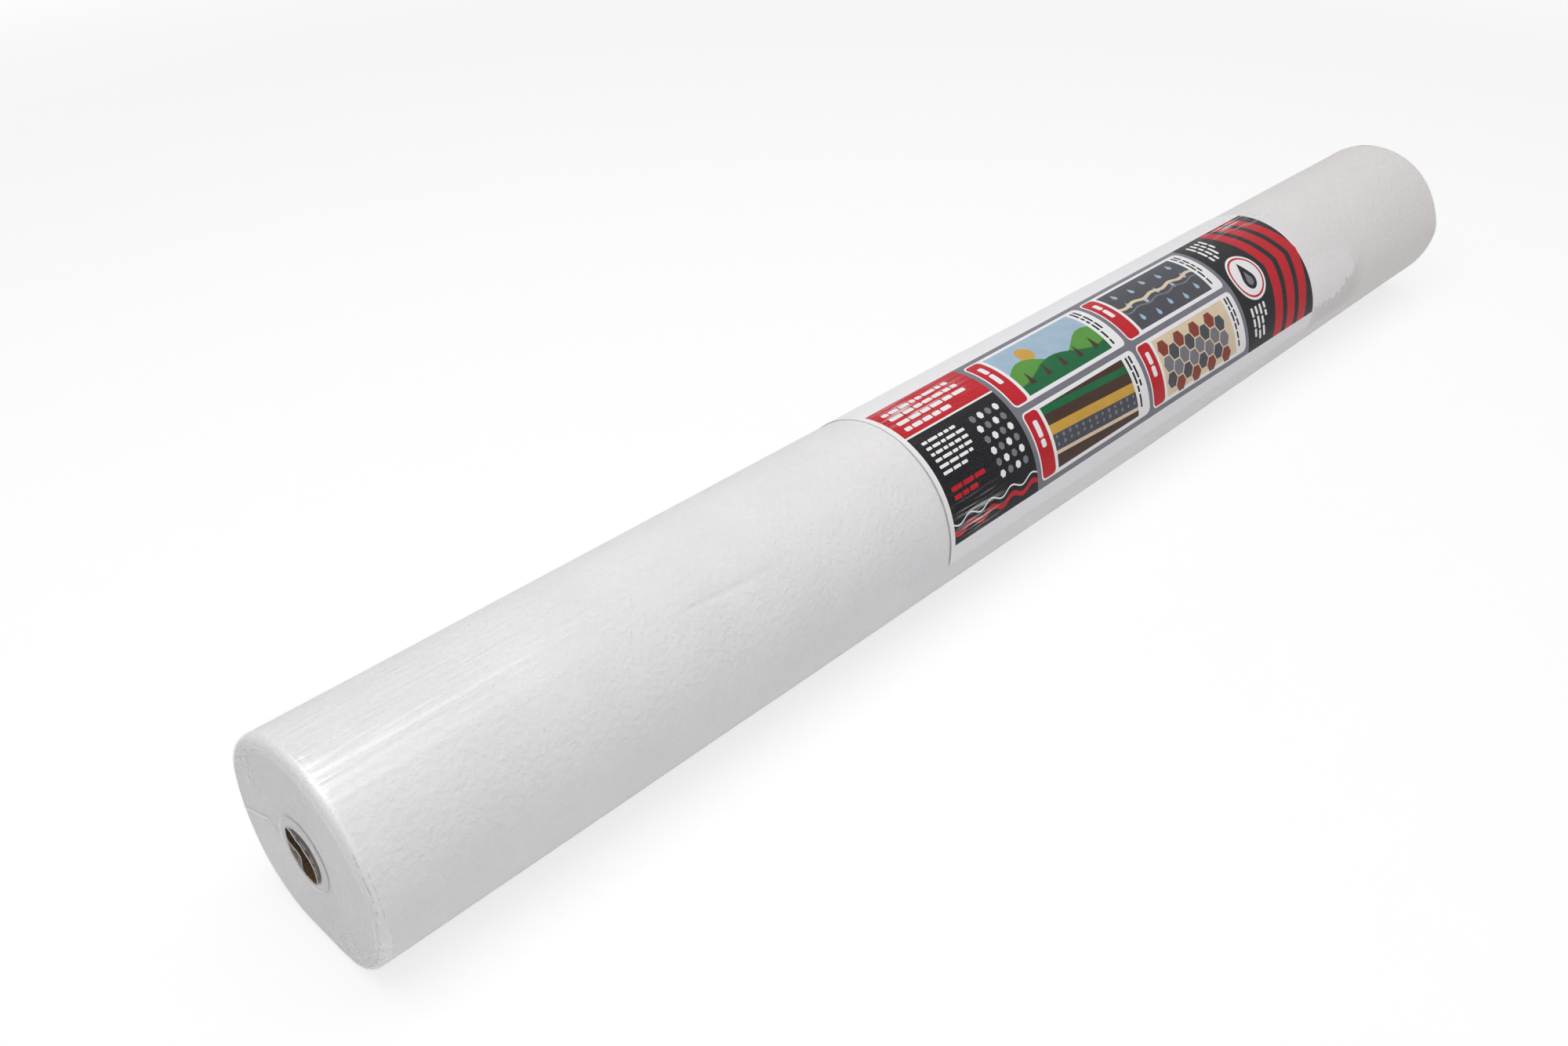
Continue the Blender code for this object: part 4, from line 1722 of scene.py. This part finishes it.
@dataclass
class FilmSleeve:
    """Shrink film round the roll: wrinkled along the body, puckered over both rims, sealed along the back
    and torn open over each end of the bore. A spot on a rim has its angle and width in degrees and its
    strength, and a crumple has its radius and depth as well."""

    section: Section
    sheet: PrintedSheet
    columns: int = 400
    fine_columns: int = 80
    fine_from: float = math.radians(-10)
    fine_to: float = math.radians(8)
    middle_rows: int = 22
    middle_half: float = 0.32
    outer_rows: int = 26
    outer_reach: float = 0.18
    rim_rows: int = 9
    rim_turned: tuple = (3, 87)
    face_rows: int = 26
    core_rings: tuple = (14.9, 15.2, 15.5, 15.8, 16.1, 16.4, 16.7, 17.0, 17.25, 17.45, 17.57, 17.7, 17.83)
    face_rings: tuple = (17.95, 18.15, 18.4, 18.7, 19.1, 19.5, 19.9, 20.3, 20.7, 21.1)
    face_inner: float = 0.0216
    face_inset: float = 0.0006
    face_set_in: float = 0.00008
    swell: Unevenness = Unevenness(0.012, 15, 71)
    swell_height: float = 0.00012
    tension: Unevenness = Unevenness(0.016, 70, 74)
    tension_height: float = 0.00005
    ring_radius: float = 0.0177
    ring_shift: float = 0.00245
    ring_aim: float = math.radians(126)
    ring_width: float = 0.00014
    ring_dots: Unevenness = Unevenness(1.0, 90, 91)
    inner_rings: tuple = ((0.0036, 0.26), (0.0022, 0.14), (0.0008, 0.16))
    inner_ring_width: float = 0.0002
    shaded_within: float = 0.03
    ripple_from: float = 0.0149
    ripple_pitch: float = 0.00125
    ripple_height: float = 0.00009
    wobble: Unevenness = Unevenness(0.003, 26, 61)
    wobble_height: float = 0.00006
    mouth_rows: int = 7
    mouth_stand: float = 0.0002
    mouth_edge: float = 0.0003
    mouth_slack: Unevenness = Unevenness(0.0035, 34, 51)
    mouth_slack_height: float = 0.0003
    frayed: Unevenness = Unevenness(1.0, 90, 41)
    frayed_share: float = 0.02
    bead: float = 0.0002
    bead_turned: tuple = (250, 180, 110, 50)
    whitened_from: float = 0.0135
    whitened_drift: float = 0.0008
    whitened_aim: float = math.radians(330)
    whitened_reach: float = 0.0009
    label_lift: float = 0.00022
    tuck: float = 0.0018
    seal_angle: float = math.radians(354)
    seal_height: float = 0.0006
    seal_width: float = 0.0007
    crease_height: float = 0.0005
    crease_width: float = 0.00055
    crease_radii: tuple = (0.0185, 0.023, 0.0274, 0.0353, 0.0438, 0.0503, 0.058)
    crease_path: tuple = (2, -1, 5, -1.5, -5.5, -7.5, -6)
    gathers: Unevenness = Unevenness(0.0022, 150, 21)
    gathers_height: float = 0.17
    fine_gathers: Unevenness = Unevenness(0.0012, 236, 24)
    fine_gathers_height: float = 0.14
    near_glints: tuple = (
        ((100, 9, 0.25), (112, 8, 0.25), (36, 9, 0.5), (16, 7, 0.6), (129, 3, 0.4), (192, 9, 0.7))
        + ((215, 14, 0.8), (250, 14, 0.4), (320, 16, 0.5))
    )
    far_glints: tuple = (
        ((20, 14, 0.8), (75, 10, 0.7), (128, 12, 0.6), (175, 10, 0.8), (230, 14, 0.7), (310, 16, 0.8))
    )
    near_crumples: tuple = (
        (37, 9, 0.0515, 0.005, 1.5),
        (38, 5, 0.045, 0.004, 1.3),
        (25, 4, 0.0405, 0.003, 1.3),
        (246, 7, 0.041, 0.006, 0.8),
        (235, 9, 0.05, 0.005, 1.0),
        (212, 13, 0.053, 0.005, 1.0),
    )
    far_crumples: tuple = (
        (70, 16, 0.0515, 0.005, 0.8),
        (160, 14, 0.051, 0.006, 1.0),
        (290, 20, 0.052, 0.005, 0.7),
    )
    crumple_height: float = 0.00016
    crumple_folds: Unevenness = Unevenness(0.0034, 120, 81)
    crumple_edges: Unevenness = Unevenness(0.0026, 160, 84)
    near_mouth: tuple = (
        (0, 4, 10, 25, 41, 47, 54, 65, 80, 96, 125, 145, 162, 187, 207, 228, 240, 250, 262, 286, 291, 296)
        + (313, 335, 349, 356),
        (0.55, 0.72, 0.81, 0.87, 0.95, 0.96, 0.84, 0.53, 0.45, 0.41, 0.31, 0.35, 0.41, 0.52, 0.65, 0.85, 0.95)
        + (0.94, 0.88, 0.82, 0.64, 0.36, 0.235, 0.25, 0.28, 0.38),
    )
    far_mouth: tuple = ((0, 60, 130, 200, 290), (0.8, 0.7, 0.86, 0.74, 0.88))

    def angles(self) -> Array:
        """Space the columns, which lie closer together at the seal and its crease over the ends.

        Returns:
            Their angles.
        """
        coarse = np.linspace(0, TURN, self.columns, endpoint=False)
        near_seal = (coarse - self.fine_from) % TURN <= self.fine_to - self.fine_from
        fine = np.linspace(self.fine_from, self.fine_to, self.fine_columns) % TURN
        return np.sort(np.concatenate([coarse[~near_seal], fine]))

    def glints(self, angle: Array, end: End) -> Array:
        """How strongly a rim is puckered at each angle.

        Args:
            angle: Angles round the roll.
            end: Which end.

        Returns:
            Strengths from 0 to 1.
        """
        strength = 0.07 + 0 * angle
        for middle, width, size in end.pick(self.near_glints, self.far_glints):
            strength = strength + size * bell(degrees_off(angle, middle) / width)
        return np.clip(strength, 0, 1)

    def puckers(self, angle: Array, place: Array, end: End) -> Array:
        """Height of the small gathers over a rim.

        Args:
            angle: Angles round the roll.
            place: Places across the rim in metres, which tell the gathers apart.
            end: Which end.

        Returns:
            Heights.
        """
        height = self.gathers.at(end)(place, angle) * self.gathers_height
        height = height + self.fine_gathers.at(end)(place, angle) * self.fine_gathers_height
        return height * MM * self.glints(angle, end)

    def lift_over_sheet(self, x: Array, angle: Array) -> Array:
        """How far the printed sheet lifts the film, falling to nothing just past its edges.

        Args:
            x: Places along the roll.
            angle: Angles round it.

        Returns:
            Heights.
        """
        sheet = self.sheet
        upper = sheet.lower_angle - sheet.width / sheet.bend_radius
        side = np.maximum((upper - angle) * ROLL_RADIUS, (angle - sheet.lower_angle) * ROLL_RADIUS)
        end = np.maximum(sheet.near - x, x - sheet.near - sheet.length)
        past = np.maximum(np.maximum(side, end), 0)
        return self.label_lift * ease(np.clip(1 - past / self.tuck, 0, 1))

    def seal(self, angle: Array) -> Array:
        """Height of the seal's bead along the body."""
        return self.seal_height * bell(swing(angle, self.seal_angle) * ROLL_RADIUS / self.seal_width)

    def crease(self, radius: Array, angle: Array) -> Array:
        """Height of the seal's crease over an end, which wanders a little on its way to the bore."""
        off = swing(angle, np.radians(np.interp(radius, self.crease_radii, self.crease_path))) * radius
        return self.crease_height * bell(off / self.crease_width) * ramp(radius, 0.0195, 0.003)

    def body(self) -> tuple[Array, Array]:
        """Lay the film along the roll, from the near rim to the far one.

        Returns:
            Rows of points, and their haze.
        """
        angle = self.angles()[None, :]
        edges = [self.sheet.near + off for off in (-self.tuck, -self.tuck / 2, 0.0002)]
        edges += [self.sheet.near + self.sheet.length + off for off in (-0.0002, self.tuck / 2, self.tuck)]
        start = self.section.face - self.section.rim_radius
        outer = start - self.outer_reach * (np.linspace(0, 1, self.outer_rows) ** 1.3)
        middle = np.linspace(-self.middle_half, self.middle_half, self.middle_rows)[1:-1]
        x = np.sort(np.concatenate([middle, -outer, outer, edges]))[:, None]
        lift = self.section.relief(x, angle) + self.lift_over_sheet(x, angle) + self.seal(angle)
        streaks = Streaks(self.section.face)(x, angle)
        lift = lift + streaks * self.section.off_floor(angle) + self.dents(x, angle)
        haze = 0.5 * bell((angle - self.seal_angle) * ROLL_RADIUS / MM)
        # Painted highlight: the haze is raised along the wrinkle ridges to stand for their glints.
        haze = haze + 0.5 * np.clip(streaks / 0.0003, 0, 0.4) ** 1.3
        return self.section.point(x, self.section.film(angle) + lift, angle), haze

    def dents(self, x: Array, angle: Array) -> Array:
        """Share of the web's dents that the film follows."""
        return 0.5 * Web(self.section).dents(x, angle)

    def cap(self, end: End) -> tuple[Array, Array]:
        """Draw the film over one end, from its torn edge out to the rim.

        Args:
            end: Which end.

        Returns:
            Rows of points, and their haze.
        """
        angle = self.angles()[None, :]
        rows, hazes = [], []
        for part in (self.mouth, self.over_core, self.over_face, self.over_rim):
            x, radius, haze = part(end, angle)
            rows.append(self.section.point(end.value * x, radius, angle))
            hazes.append(haze + 0 * radius)
        return np.concatenate(rows), np.concatenate(hazes)

    def torn_edge(self, end: End, angle: Array) -> Array:
        """Radius of the film's torn edge over the bore."""
        share = np.interp(np.degrees(angle), *end.pick(self.near_mouth, self.far_mouth), period=360)
        return (share + self.frayed.at(end)(0 * angle, angle) * self.frayed_share) * self.section.bore_radius

    def mouth(self, end: End, angle: Array) -> tuple[Array, Array, Array]:
        """The film over the bore, with a rolled bead along its torn edge.

        Args:
            end: Which end.
            angle: Angles of the columns.

        Returns:
            Distances along X, radii and haze.
        """
        edge = self.torn_edge(end, angle)
        roll = np.radians(self.bead_turned)[:, None]
        x_bead = self.section.face + self.mouth_stand + self.bead * np.sin(roll) + 0 * edge
        r_bead = edge + self.bead * (1 + np.cos(roll))
        share = np.linspace(0.08, 0.95, self.mouth_rows)[:, None]
        outer = self.section.bore_radius - self.mouth_edge
        radius = edge + (outer - edge) * share + self.bead * (1 - share)
        slack = self.mouth_slack.at(end)(radius, angle) * self.mouth_slack_height * np.sin(share * math.pi)
        x = self.section.face + self.mouth_stand * (1 - share) + slack
        fold = bell((share - 0.37) / 0.1) * (slack > -0.00005)
        start = self.whitened_from - self.whitened_drift * np.cos(angle - self.whitened_aim)
        white = np.clip((radius - start) / self.whitened_reach + 0.5, 0, 1)
        haze = np.concatenate([1 + 0 * x_bead, 0.07 + 0.25 * fold + 0.66 * white + 0 * x])
        return np.concatenate([x_bead, x]), np.concatenate([r_bead, radius]), haze

    def over_core(self, end: End, angle: Array) -> tuple[Array, Array, Array]:
        """The film over the core's wall, drawn in against it in a few fine rings.

        Args:
            end: Which end.
            angle: Angles of the columns.

        Returns:
            Distances along X, radii and haze.
        """
        ring = np.array(self.core_rings + self.face_rings)[:, None] * MM
        shifted = ramp(ring, 0.0151, 0.0024) * ramp(ring, self.face_inner, -0.0036)
        inside = ramp(ring, self.ring_radius + 0.0001, -0.0003)
        outside = ramp(ring, 0.0192, -0.0012)
        ripple = np.cos((ring - self.ripple_from) / self.ripple_pitch * TURN)
        slack = 0.1 * np.clip(np.cos(angle - math.radians(130)), 0, 1) * bell((ring - 0.0163) / 0.0012)
        wobble = self.wobble.at(end)(ring, angle) * self.wobble_height
        x = self.section.face - self.face_set_in + (self.ripple_height * ripple + wobble) * inside
        haze = 0.97 * outside + (0.15 * ripple - slack) * inside + 0.03
        return x, ring + shifted * self.ring_drift(angle), haze

    def ring_drift(self, angle: Array) -> Array:
        """How far the rings over the core lie out of centre at each angle."""
        facing = np.cos(angle - self.ring_aim)
        return self.ring_shift * np.where(facing > 0, facing, 0.45 * facing)

    def ring_shade(self, points: Array) -> Array:
        """Where the film over an end looks dark, in fine rings round the bore.

        Args:
            points: Rows of points.

        Returns:
            Strengths from 0 to 1.
        """
        radius, angle = self.section.polar(points)
        facing = np.cos(angle - self.ring_aim)
        off = radius - self.ring_radius - self.ring_drift(angle)
        dotted = 0.8 + 0.3 * self.ring_dots(0 * angle, angle)
        shade = bell(off / self.ring_width) * np.clip(0.45 + 0.55 * facing, 0.1, 1) * dotted
        shade = shade + 0.17 * ramp(off, 0.0001, 0.0003)
        for inwards, strength in self.inner_rings:
            shade = shade + strength * bell((off + inwards) / self.inner_ring_width)
        at_end = self.end_share(points, 0.003, 0.001)
        return np.clip(shade, 0, 1) * at_end * (radius < self.shaded_within)

    def end_share(self, points: Array, within: float, fade: float) -> Array:
        """One for points within a distance of an end, else nought, with a fade between."""
        return np.clip((np.abs(points[..., 0]) - self.section.face + within) / fade, 0, 1)

    def over_face(self, end: End, angle: Array) -> tuple[Array, Array, Array]:
        """The film over the wound edges of the web.

        Args:
            end: Which end.
            angle: Angles of the columns.

        Returns:
            Distances along X, radii and haze.
        """
        outer = self.section.film(angle) - self.section.rim_radius - self.face_inset
        share = np.linspace(0, 1, self.face_rows)[:, None]
        radius = self.face_inner + (outer - self.face_inner) * share
        swell = self.swell.at(end)(radius, angle) * self.swell_height
        tension = self.tension.at(end)(radius, angle) * self.tension_height
        fold = self.crease(radius, angle)
        crumple = self.crumpled(radius, angle, end)
        x = self.section.face + (swell + tension) * ramp(share, 1, -0.2)
        x = x + fold + crumple * self.crumple_height
        haze = fold / self.crease_height * 1.1 + 0.4 * np.clip(crumple - 0.05, 0, 1)
        # Painted highlight: the haze rises towards the rim on its upper side.
        return x, radius, haze + 0.02 + 0.28 * self.rim_highlight_share(angle) * ramp(share, 0.9, 0.1) ** 2

    @staticmethod
    def rim_highlight_share(angle: Array) -> Array:
        """Share of the painted highlight on the rim at each angle, laid on as whiter film haze: most on the
        upper side.
        """
        return np.clip(1.6 * np.cos(angle - math.radians(85)) - 0.35, 0, 1)

    def crumple_share(self, radius: Array, angle: Array, end: End) -> Array:
        """How crumpled the film is near a rim.

        Args:
            radius: Distances from the axis.
            angle: Angles round the roll.
            end: Which end.

        Returns:
            Strengths from 0 to 1.
        """
        strength = 0 * (radius + angle)
        for middle, wide, at, deep, size in end.pick(self.near_crumples, self.far_crumples):
            strength = strength + size * bell(degrees_off(angle, middle) / wide, (radius - at) / deep)
        return np.clip(strength, 0, 1)

    def crumples_over(self, points: Array) -> Array:
        """How crumpled the film is at each point.

        Args:
            points: Rows of points.

        Returns:
            Strengths from 0 to 1.
        """
        radius, angle = self.section.polar(points)
        near = self.crumple_share(radius, angle, End.NEAR) * (points[..., 0] < 0)
        far = self.crumple_share(radius, angle, End.FAR) * (points[..., 0] > 0)
        return (near + far) * self.end_share(points, 0.006, 0.002)

    def crumpled(self, radius: Array, angle: Array, end: End) -> Array:
        """Height of the film's crumpled patches near a rim.

        Args:
            radius: Distances from the axis.
            angle: Angles round the roll.
            end: Which end.

        Returns:
            Heights from -1 to 1.
        """
        folds = self.crumple_folds.at(end)(radius, angle + radius * 22)
        sharp = self.crumple_edges.at(end)(radius, angle - radius * 30)
        return self.crumple_share(radius, angle, end) * (folds * 0.6 + np.abs(sharp) * 0.7 - 0.2)

    def over_rim(self, end: End, angle: Array) -> tuple[Array, Array, Array]:
        """The film round the rim, with its small gathers.

        Args:
            end: Which end.
            angle: Angles of the columns.

        Returns:
            Distances along X, radii and haze.
        """
        bend = np.radians(np.linspace(*self.rim_turned, self.rim_rows))[:, None]
        size = self.section.rim_radius
        film = self.section.film(angle)
        off_floor = self.section.off_floor(angle)
        crumple = self.crumpled(film - size * (1 - np.sin(bend)), angle, end)
        gathers = self.puckers(angle, bend * size, end) * off_floor
        gathers = gathers * np.sin(bend) ** 0.5 + self.seal(angle) * np.sin(bend)
        gathers = gathers + crumple * self.crumple_height * off_floor * np.cos(bend)
        gathers = gathers + self.crease(film, angle) * np.cos(bend) * 0.6
        x = self.section.face - size * (1 - np.cos(bend)) + gathers * np.cos(bend)
        radius = film - size * (1 - np.sin(bend)) + gathers * np.sin(bend)
        # Painted highlight: whiter haze over the upper side of the rim.
        haze = 0.12 + self.rim_highlight_share(angle) * (0.18 * np.cos(bend) + 0.4 * np.sin(2 * bend))
        haze = haze + 0.6 * self.glints(angle, end) * np.clip(0.3 + gathers / 0.00022, 0, 1)
        haze = haze + 0.4 * np.clip(crumple - 0.05, 0, 1) * np.cos(bend)
        return x, radius, haze

    def build(self) -> Object:
        """Build the sleeve as one skin.

        Returns:
            The piece.
        """
        near, body, far = self.cap(End.NEAR), self.body(), self.cap(End.FAR)
        points, haze = (np.concatenate([near[k], body[k], far[k][::-1]]) for k in range(2))
        faces = quads(points.shape[0], points.shape[1], close_columns=True)
        look = ShrinkFilm().material()
        sleeve = add_piece("film_sleeve", points, faces, [look], "shrink_sleeve", closed=False)
        keep_points(sleeve, "haze", np.clip(haze, 0, 1))
        keep_points(sleeve, "drawn", Drawn(self.section)(points))
        keep_points(sleeve, "crumpled", self.crumples_over(points))
        keep_points(sleeve, "shade", self.ring_shade(points))
        return sleeve


# Studio


@dataclass(frozen=True)
class Softbox:
    """A rectangular lamp: where it hangs, the point it faces, its width and height, and its watts."""

    name: str
    place: tuple
    aim: tuple
    size: tuple
    watts: float

    def hang(self) -> None:
        """Hang the lamp in the scene."""
        data = bpy.data.lights.new(self.name, "AREA")
        data.shape = "RECTANGLE"
        data.size, data.size_y = self.size
        data.energy = self.watts
        lamp = bpy.data.objects.new(self.name, data)
        lamp.location = self.place
        lamp.rotation_euler = (Vector(self.aim) - Vector(self.place)).to_track_quat("-Z", "Y").to_euler()
        bpy.context.scene.collection.objects.link(lamp)


@dataclass
class Studio:
    """Pale floor, soft lamps and the camera."""

    camera_place: tuple = (-0.6710, -0.44873, 0.51521)
    azimuth: float = math.radians(-46.05)
    elevation: float = math.radians(33.86)
    lens: float = 33.293
    sensor: float = 36.0
    nearest: float = 0.01
    floor_size: float = 12.0
    floor_drop: float = 0.0002
    floor_rows: int = 41
    ambient: float = 0.415
    ambient_tint: tuple = (1, 0.966, 0.982)
    lamps: tuple = (
        Softbox("top_softbox", (-0.1, -0.1, 1.4), (-0.1, 0.0, 0.05), (2.2, 1.0), 9.2),
        Softbox("near_softbox", (-0.57, 0.12, 1.1), (-0.45, 0.0, 0.05), (0.8, 0.8), 2.3),
        Softbox("back_softbox", (0.1, 1.35, 0.85), (-0.2, 0.0, 0.06), (1.3, 0.7), 0.6),
        Softbox("side_softbox", (-1.1, -1.2, 0.8), (-0.3, 0.0, 0.06), (1.0, 1.0), 1.9),
    )

    def build(self) -> None:
        """Build the floor, the lamps, the world and the camera."""
        self.add_floor()
        self.add_world()
        for lamp in self.lamps:
            lamp.hang()
        self.add_camera()
        bpy.context.scene.view_settings.view_transform = "Standard"

    def add_floor(self) -> None:
        """Lay the floor, a hair under the roll."""
        steps = np.linspace(-1, 1, self.floor_rows) * self.floor_size / 2
        x, y = np.meshgrid(steps, steps, indexing="ij")
        points = np.stack([x, y, 0 * x - self.floor_drop], axis=-1)
        data = bpy.data.meshes.new("floor")
        data.from_pydata(points.reshape(-1, 3).tolist(), [], quads(*x.shape).tolist())
        data.materials.append(StudioFloor().material())
        floor = bpy.data.objects.new("floor", data)
        bpy.context.scene.collection.objects.link(floor)
        data.shade_smooth()

    def add_world(self) -> None:
        """Light from all round, which the camera sees as white."""
        world = bpy.data.worlds.new("studio_world")
        bpy.context.scene.world = world
        graph = Graph(world)
        shown = seen(graph)
        strength = self.ambient + shown * (1 - self.ambient)
        colour = graph.blend(shown, self.ambient_tint, (1, 1, 1))
        background = graph.value("ShaderNodeBackground", {}, {"Color": colour, "Strength": strength})
        graph.node("ShaderNodeOutputWorld", {}, {"Surface": background})

    def add_camera(self) -> None:
        """Set the camera where the photograph was taken from."""
        level = math.cos(self.elevation)
        back = (math.sin(self.azimuth) * level, -math.cos(self.azimuth) * level, math.sin(self.elevation))
        turned = (-Vector(back)).to_track_quat("-Z", "Y").to_matrix().to_4x4()
        data = bpy.data.cameras.new("camera")
        data.lens = self.lens
        data.sensor_width = self.sensor
        data.sensor_fit = "HORIZONTAL"
        data.clip_start = self.nearest
        camera = bpy.data.objects.new("camera", data)
        camera.matrix_world = Matrix.Translation(self.camera_place) @ turned
        bpy.context.scene.collection.objects.link(camera)
        bpy.context.scene.camera = camera


def main() -> None:
    """Build the roll and its studio, and report each piece."""
    logging.basicConfig(level=logging.INFO, format="%(message)s")
    section = Section()
    core, sheet = Core(section), PrintedSheet(section)
    sleeve = FilmSleeve(section, sheet)
    Studio().build()
    for build in (core.build, core.build_tape, Web(section).build, sheet.build, sleeve.build):
        piece = build()
        LOG.info("%s: %d faces", piece.name, len(piece.data.polygons))


if __name__ == "__main__":
    main()
